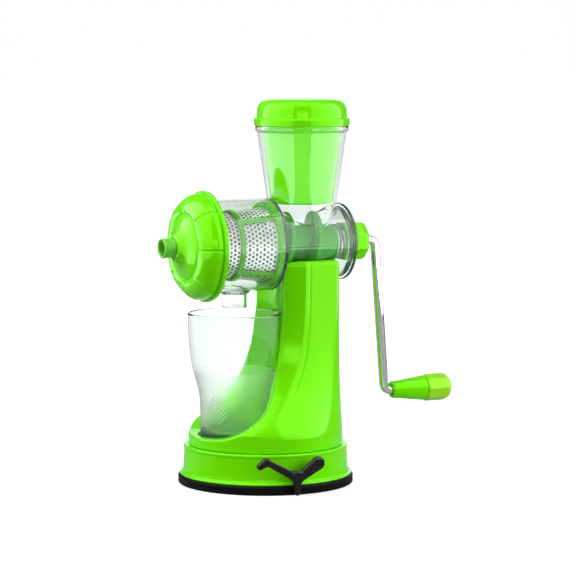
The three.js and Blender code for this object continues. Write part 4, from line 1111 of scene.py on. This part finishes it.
def cap_outline():
    seat_x = GASKET_LOW.x - GAP
    nose_r, bore_r, collar_r = 10.6, NOZZLE_BORE_R, half_height("pulp_nozzle")
    boss_x = CAP_CREST_X + 4.5
    flange_r, back = CAP_FLANGE_R, CAP_BACK_X
    crest = CAP_CREST_X
    dome = spline([
        (CHAMBER_R + 5.9, back - 5.2), (CHAMBER_R + 5.4, back - 10), (CHAMBER_R + 2.9, back - 15),
        (CHAMBER_R - 1.9, back - 19.8), (CHAMBER_R - 6.3, crest), (CHAMBER_R - 9.4, crest + 0.3),
    ], 8)
    bell = spline([
        (CHAMBER_R - 13.0, crest + 0.1), (CHAMBER_R - 17, crest - 1.7), (CHAMBER_R - 23, crest - 4.0),
        (nose_r + 2.2, crest - 6.6), (nose_r + 0.3, CAP_NOSE_X + 0.8),
    ], 6)
    return [
        (bore_r, CAP_NOSE_X), (bore_r, boss_x), (collar_r + 2.4, boss_x), (collar_r + 4, boss_x - 3),
        (CHAMBER_R - 12, seat_x - 2.5), (CHAMBER_BORE_R, seat_x), (CHAMBER_R + 0.5, seat_x),
        (CHAMBER_R + 0.5, back), (flange_r - 0.6, back), (flange_r, back - 0.6), (flange_r, back - 3.1),
        (flange_r - 0.5, back - 3.5), (CHAMBER_R + 4.9, back - 3.5), (CHAMBER_R + 4.9, back - 4.3),
        *dome, (CHAMBER_R - 11.0, crest + 1.0), (CHAMBER_R - 11.5, crest + 2.1),
        (CHAMBER_R - 12.1, crest + 1.6), *bell,
    ][::-1]


def front_cap():
    """A domed cap whose shoulder has eight pillowed lobes between radial grooves."""
    points, _ = soften(cap_outline(), 0.5, True)
    sector = 2 * math.pi / CAP_GROOVES
    # degrees from a groove, close together near it
    near = np.array([0, 0.3, 0.6, 0.9, 1.2, 1.6, 2.1, 2.8, 4, 6, 9, 12, 15, 18, 20.5])
    half = np.radians(np.concatenate([-near[:0:-1], near, [22.5]]))
    angles = np.concatenate([i * sector + half for i in range(CAP_GROOVES)])
    r, h, angle, index, faces = revolve(points, True, angles)
    outline = np.array([tuple(p) for p in points])
    run = np.roll(outline, -1, 0) - np.roll(outline, 1, 0)
    run /= np.linalg.norm(run, axis=1)[:, None]
    out_r, out_h = run[index, 1], -run[index, 0]
    on_dome = (h < CAP_BACK_X - 4.4) & (out_h < 0.35) & (r > CHAMBER_R - 12)
    fade = np.clip((r - CHAMBER_R + 10.5) / 3.5, 0, 1) * on_dome
    off = (angle + sector / 2) % sector - sector / 2
    groove = -CAP_GROOVE_DEPTH * np.exp(-((off * r / CAP_GROOVE_HALF_W) ** 2))
    pillow = CAP_PILLOW * (np.cos(off / sector * 2 * math.pi) - 1) / 2
    push = (groove + pillow) * fade
    r, h = r + out_r * push, h + out_h * push
    vertices = np.column_stack([h, r * np.cos(angle), AXIS_Z + r * np.sin(angle)])
    return add_piece("lobed_cap", vertices, faces, FINISHES["green_plastic"], sharp=45)


def pulp_nozzle():
    tip, back = NOZZLE_LOW.x, NOZZLE_HIGH.x
    bore, r, collar = 6.6, 8.5, half_height("pulp_nozzle")
    collar_x = back - 2.5
    outline = [
        (bore, tip + 1), (bore + 0.7, tip), (r - 0.6, tip), (r, tip + 0.6), (r, tip + 2.0),
        (r - 0.35, tip + 2.5), (r - 0.35, CAP_NOSE_X - 1.6), (r, CAP_NOSE_X - 1.0), (r, collar_x),
        (collar, collar_x), (collar, back), (bore, back),
    ]
    finish = FINISHES["dull_green_plastic"]
    return turned("pulp_spout", outline, along_x(), finish, soft=0.35, segments=SMALL_SEGMENTS)


def cap_gasket():
    outline = ring(CHAMBER_BORE_R, CHAMBER_R, GASKET_LOW.x, GASKET_HIGH.x)
    return turned("mouth_gasket", outline, along_x(), FINISHES["white_rubber"], soft=0.5)


def nozzle_oring():
    middle = (ORING_LOW.x + ORING_HIGH.x) / 2
    outer = half_height("nozzle_oring")
    r = (outer - NOZZLE_BORE_R) / 2
    outline = arc((outer - r, middle), r, 0, 360, 16)[:-1]
    finish = FINISHES["black_rubber"]
    return turned("nozzle_seal", outline, along_x(), finish, soft=0.1, segments=SMALL_SEGMENTS)


# ---- Pusher ----


def pusher_cup():
    bottom, flange_z = CUP_LOW.z, CUP_HIGH.z - 2
    bottom_r = hopper_radius(bottom) - HOPPER_WALL - 0.5
    top_r = bottom_r + (flange_z - bottom) * 0.104
    wall = 2
    outline = [
        (0, bottom), (bottom_r - 2, bottom), (bottom_r, bottom + 2), (top_r, flange_z),
        (HOPPER_RIM_R - 0.6, flange_z), (HOPPER_RIM_R - 0.6, CUP_HIGH.z), (top_r - wall, CUP_HIGH.z),
        (bottom_r - wall, bottom + 4), (bottom_r - wall - 2, bottom + wall), (0, bottom + wall),
    ]
    return turned("pusher_barrel", outline, upright(HOPPER_X), FINISHES["green_plastic"], soft=1.2)


def pusher_lid():
    low, top = LID_LOW.z, LID_HIGH.z
    band_top = low + 6.7
    seat = CUP_HIGH.z + GAP
    dome_r, shoulder, wall = HOPPER_RIM_R - 1.2, 9, 2.2
    crown = top - 0.9
    outline = [
        (HOPPER_RIM_R - GAP, low), (LID_R - 0.4, low), (LID_R, low + 0.6), (LID_R, band_top - 0.9),
        (LID_R - 0.7, band_top), (dome_r + 0.15, band_top), (dome_r, band_top + 0.8),
        *spline([
            (dome_r - 0.25, crown - shoulder), (dome_r - 1.4, crown - 5.2), (dome_r - 4.1, crown - 2.0),
            (dome_r - shoulder, crown - 0.2), (dome_r - 16, top - 0.35),
        ], 6),
        (12, top), (0, top), (0, top - wall), (dome_r - wall - shoulder, top - wall - 0.8),
        (dome_r - wall, top - wall - shoulder), (dome_r - wall, seat), (HOPPER_RIM_R - GAP, seat),
    ]
    return turned("pusher_dome", outline, upright(HOPPER_X), FINISHES["green_plastic"], soft=0.6)


# ---- Assembly ----

for piece, node in (
    (suction_pad(), "suction_pad"),
    (base_ring(), "base_ring"),
    (stand_column(), "stand_column"),
    (vacuum_lever(), "vacuum_lever"),
    (tumbler(), "juice_glass"),
    (tumbler_ribs(), "juice_glass"),
    (juicer_housing(), "juicer_housing"),
    (strainer_mesh(), "strainer_mesh"),
    (strainer_frame(), "strainer_frame"),
    (auger_screw(), "auger_screw"),
    *shaft_pieces(),
    (crank_hub(), "crank_hub"),
    (crank_rod(), "crank_rod"),
    (grip_sleeve(), "grip_sleeve"),
    (grip_cap(), "grip_cap"),
    (front_cap(), "front_cap"),
    (cap_gasket(), "cap_gasket"),
    (pulp_nozzle(), "pulp_nozzle"),
    (nozzle_oring(), "nozzle_oring"),
    (pusher_cup(), "pusher_cup"),
    (pusher_lid(), "pusher_lid"),
):
    stands_for(piece, node)
    if node in ("juicer_housing", "juice_glass"):
        piece.visible_shadow = False  # clear pieces throw none

# CAD nodes that nothing stands for are shown as they are
for node, part in frame["nodes"].items():
    if not part.hide_render:
        part.data.materials.clear()
        part.data.materials.append(FINISHES[SLOT_OF[node]])

# ---- Floor, light and camera ----

CENTRE = (CAD_LOW + CAD_HIGH) / 2
VIEW_AZIMUTH = math.radians(-26)
VIEW_ELEVATION = math.radians(5.8)
VIEW_DISTANCE = 2.4
VIEW_LENS = 176.84
ROOM_LIGHT = 0.15
THROUGH_CLEAR = 0.3  # the room to the sides, as it shows through clear plastic
BACKDROP_EDGE = (0.6, 0.85)  # cosines from the backdrop's middle, between which it brightens
GLOW_FROM, GLOW_TO = (0.25, 1.3), (0.72, 0.95)  # metres from the middle, and how bright the floor is
FLOOR_HALF = 12
VIEW_AT = Vector((21.3, 5.5, 167.55)) * MM


def direction(azimuth, elevation):
    """Unit vector towards a viewer at that azimuth from -Y and that elevation."""
    flat = math.cos(elevation)
    return Vector((math.sin(azimuth) * flat, -math.cos(azimuth) * flat, math.sin(elevation)))


def aimed(obj, at):
    obj.rotation_euler = (at - obj.location).to_track_quat("-Z", "Y").to_euler()
    bpy.context.scene.collection.objects.link(obj)


def camera():
    data = bpy.data.cameras.new("camera")
    data.sensor_width = 36
    data.lens = VIEW_LENS
    data.clip_end = 50
    made = bpy.data.objects.new("camera", data)
    made.location = VIEW_AT + direction(VIEW_AZIMUTH, VIEW_ELEVATION) * VIEW_DISTANCE
    aimed(made, VIEW_AT)
    bpy.context.scene.camera = made


def panel(name, azimuth, distance, height, size, radiance, **hidden_from):
    """An upright rectangular light facing the object, its azimuth counted from the camera's."""
    data = bpy.data.lights.new(name, "AREA")
    data.shape = "RECTANGLE"
    data.size, data.size_y = size
    data.energy = radiance * math.pi * size[0] * size[1]
    made = bpy.data.objects.new(name, data)
    flat = direction(VIEW_AZIMUTH + math.radians(azimuth), 0) * distance
    made.location = Vector((CENTRE.x + flat.x, CENTRE.y + flat.y, height))
    made.visible_camera = False
    made.visible_transmission = False
    for ray, hidden in hidden_from.items():
        setattr(made, "visible_" + ray, not hidden)
    aimed(made, Vector((CENTRE.x, CENTRE.y, min(height, 0.6))))


def lights():
    """Soft light from both sides, behind and above, and bright cards that only show in reflections."""
    panel("right_softbox", 66, 1.7, 0.55, (1.4, 1.5), 4.6, glossy=True)
    panel("left_softbox", -78, 1.4, 1.1, (1.3, 1.1), 6.5, glossy=True)
    panel("back_softbox", 175, 1.9, 0.7, (1.4, 1.4), 1.8, glossy=True)
    panel("top_softbox", 20, 0.3, 1.9, (1.4, 1.1), 2.6)
    panel("right_card", 67, 0.28, 0.45, (0.56, 0.66), 4.5, diffuse=True)
    panel("left_card", -67, 0.28, 0.45, (0.56, 0.66), 4.5, diffuse=True)
    panel("front_card", 0, 1.0, 0.46, (0.5, 0.26), 6.0, diffuse=True)
    panel("back_card", 175, 1.2, 0.4, (0.9, 0.7), 1.0, diffuse=True)


def floor():
    """A pale floor that glows where it is looked at, so it reads white but for the contact shadows."""
    finish = Finish("floor_look", (0.4, 0.4, 0.4), 0.4, IOR=1.3)
    finish.tint(finish.noise(3, 2), (0.38, 0.385, 0.39), (0.4, 0.4, 0.4))
    rays = finish.add("LightPath").outputs
    looked_at = finish.calculate("MAXIMUM", rays["Is Camera Ray"], rays["Is Transmission Ray"])
    away = finish.calculate("LENGTH", finish.coordinates, kind="VectorMath")
    glow = finish.spread(away, GLOW_FROM, GLOW_TO, "SMOOTHSTEP")
    strength = finish.calculate("MULTIPLY", looked_at, glow)
    finish.feed(finish.shader, Emission_Color=(1, 1, 1, 1), Emission_Strength=strength)
    mesh = bpy.data.meshes.new("floor")
    half = FLOOR_HALF
    corners = [(-half, -half, 0), (half, -half, 0), (half, half, 0), (-half, half, 0)]
    mesh.from_pydata(corners, [], [(0, 1, 2, 3)])
    mesh.materials.append(finish.material)
    made = bpy.data.objects.new("floor", mesh)
    bpy.context.scene.collection.objects.link(made)


def world():
    """A dim room with a lit backdrop behind the object. Looked at, it is white all round."""
    made = bpy.data.worlds.new("studio")
    made.use_nodes = True
    studio = Graph(made.node_tree)
    towards = studio.add("TexCoord").outputs["Generated"]
    behind = -direction(VIEW_AZIMUTH, 0)
    facing = studio.calculate("DOT_PRODUCT", towards, behind, kind="VectorMath")
    backdrop = studio.spread(facing, BACKDROP_EDGE, (THROUGH_CLEAR, 1))
    rays = studio.add("LightPath").outputs
    through = studio.calculate("MULTIPLY", rays["Is Transmission Ray"], backdrop)
    looked_at = studio.calculate("MAXIMUM", rays["Is Camera Ray"], through)
    strength = studio.calculate("MAXIMUM", looked_at, ROOM_LIGHT)
    studio.feed(studio.nodes["Background"], Color=(1, 1, 1, 1), Strength=strength)
    bpy.context.scene.world = made


camera()
lights()
floor()
world()
bpy.context.scene.view_settings.view_transform = "Standard"
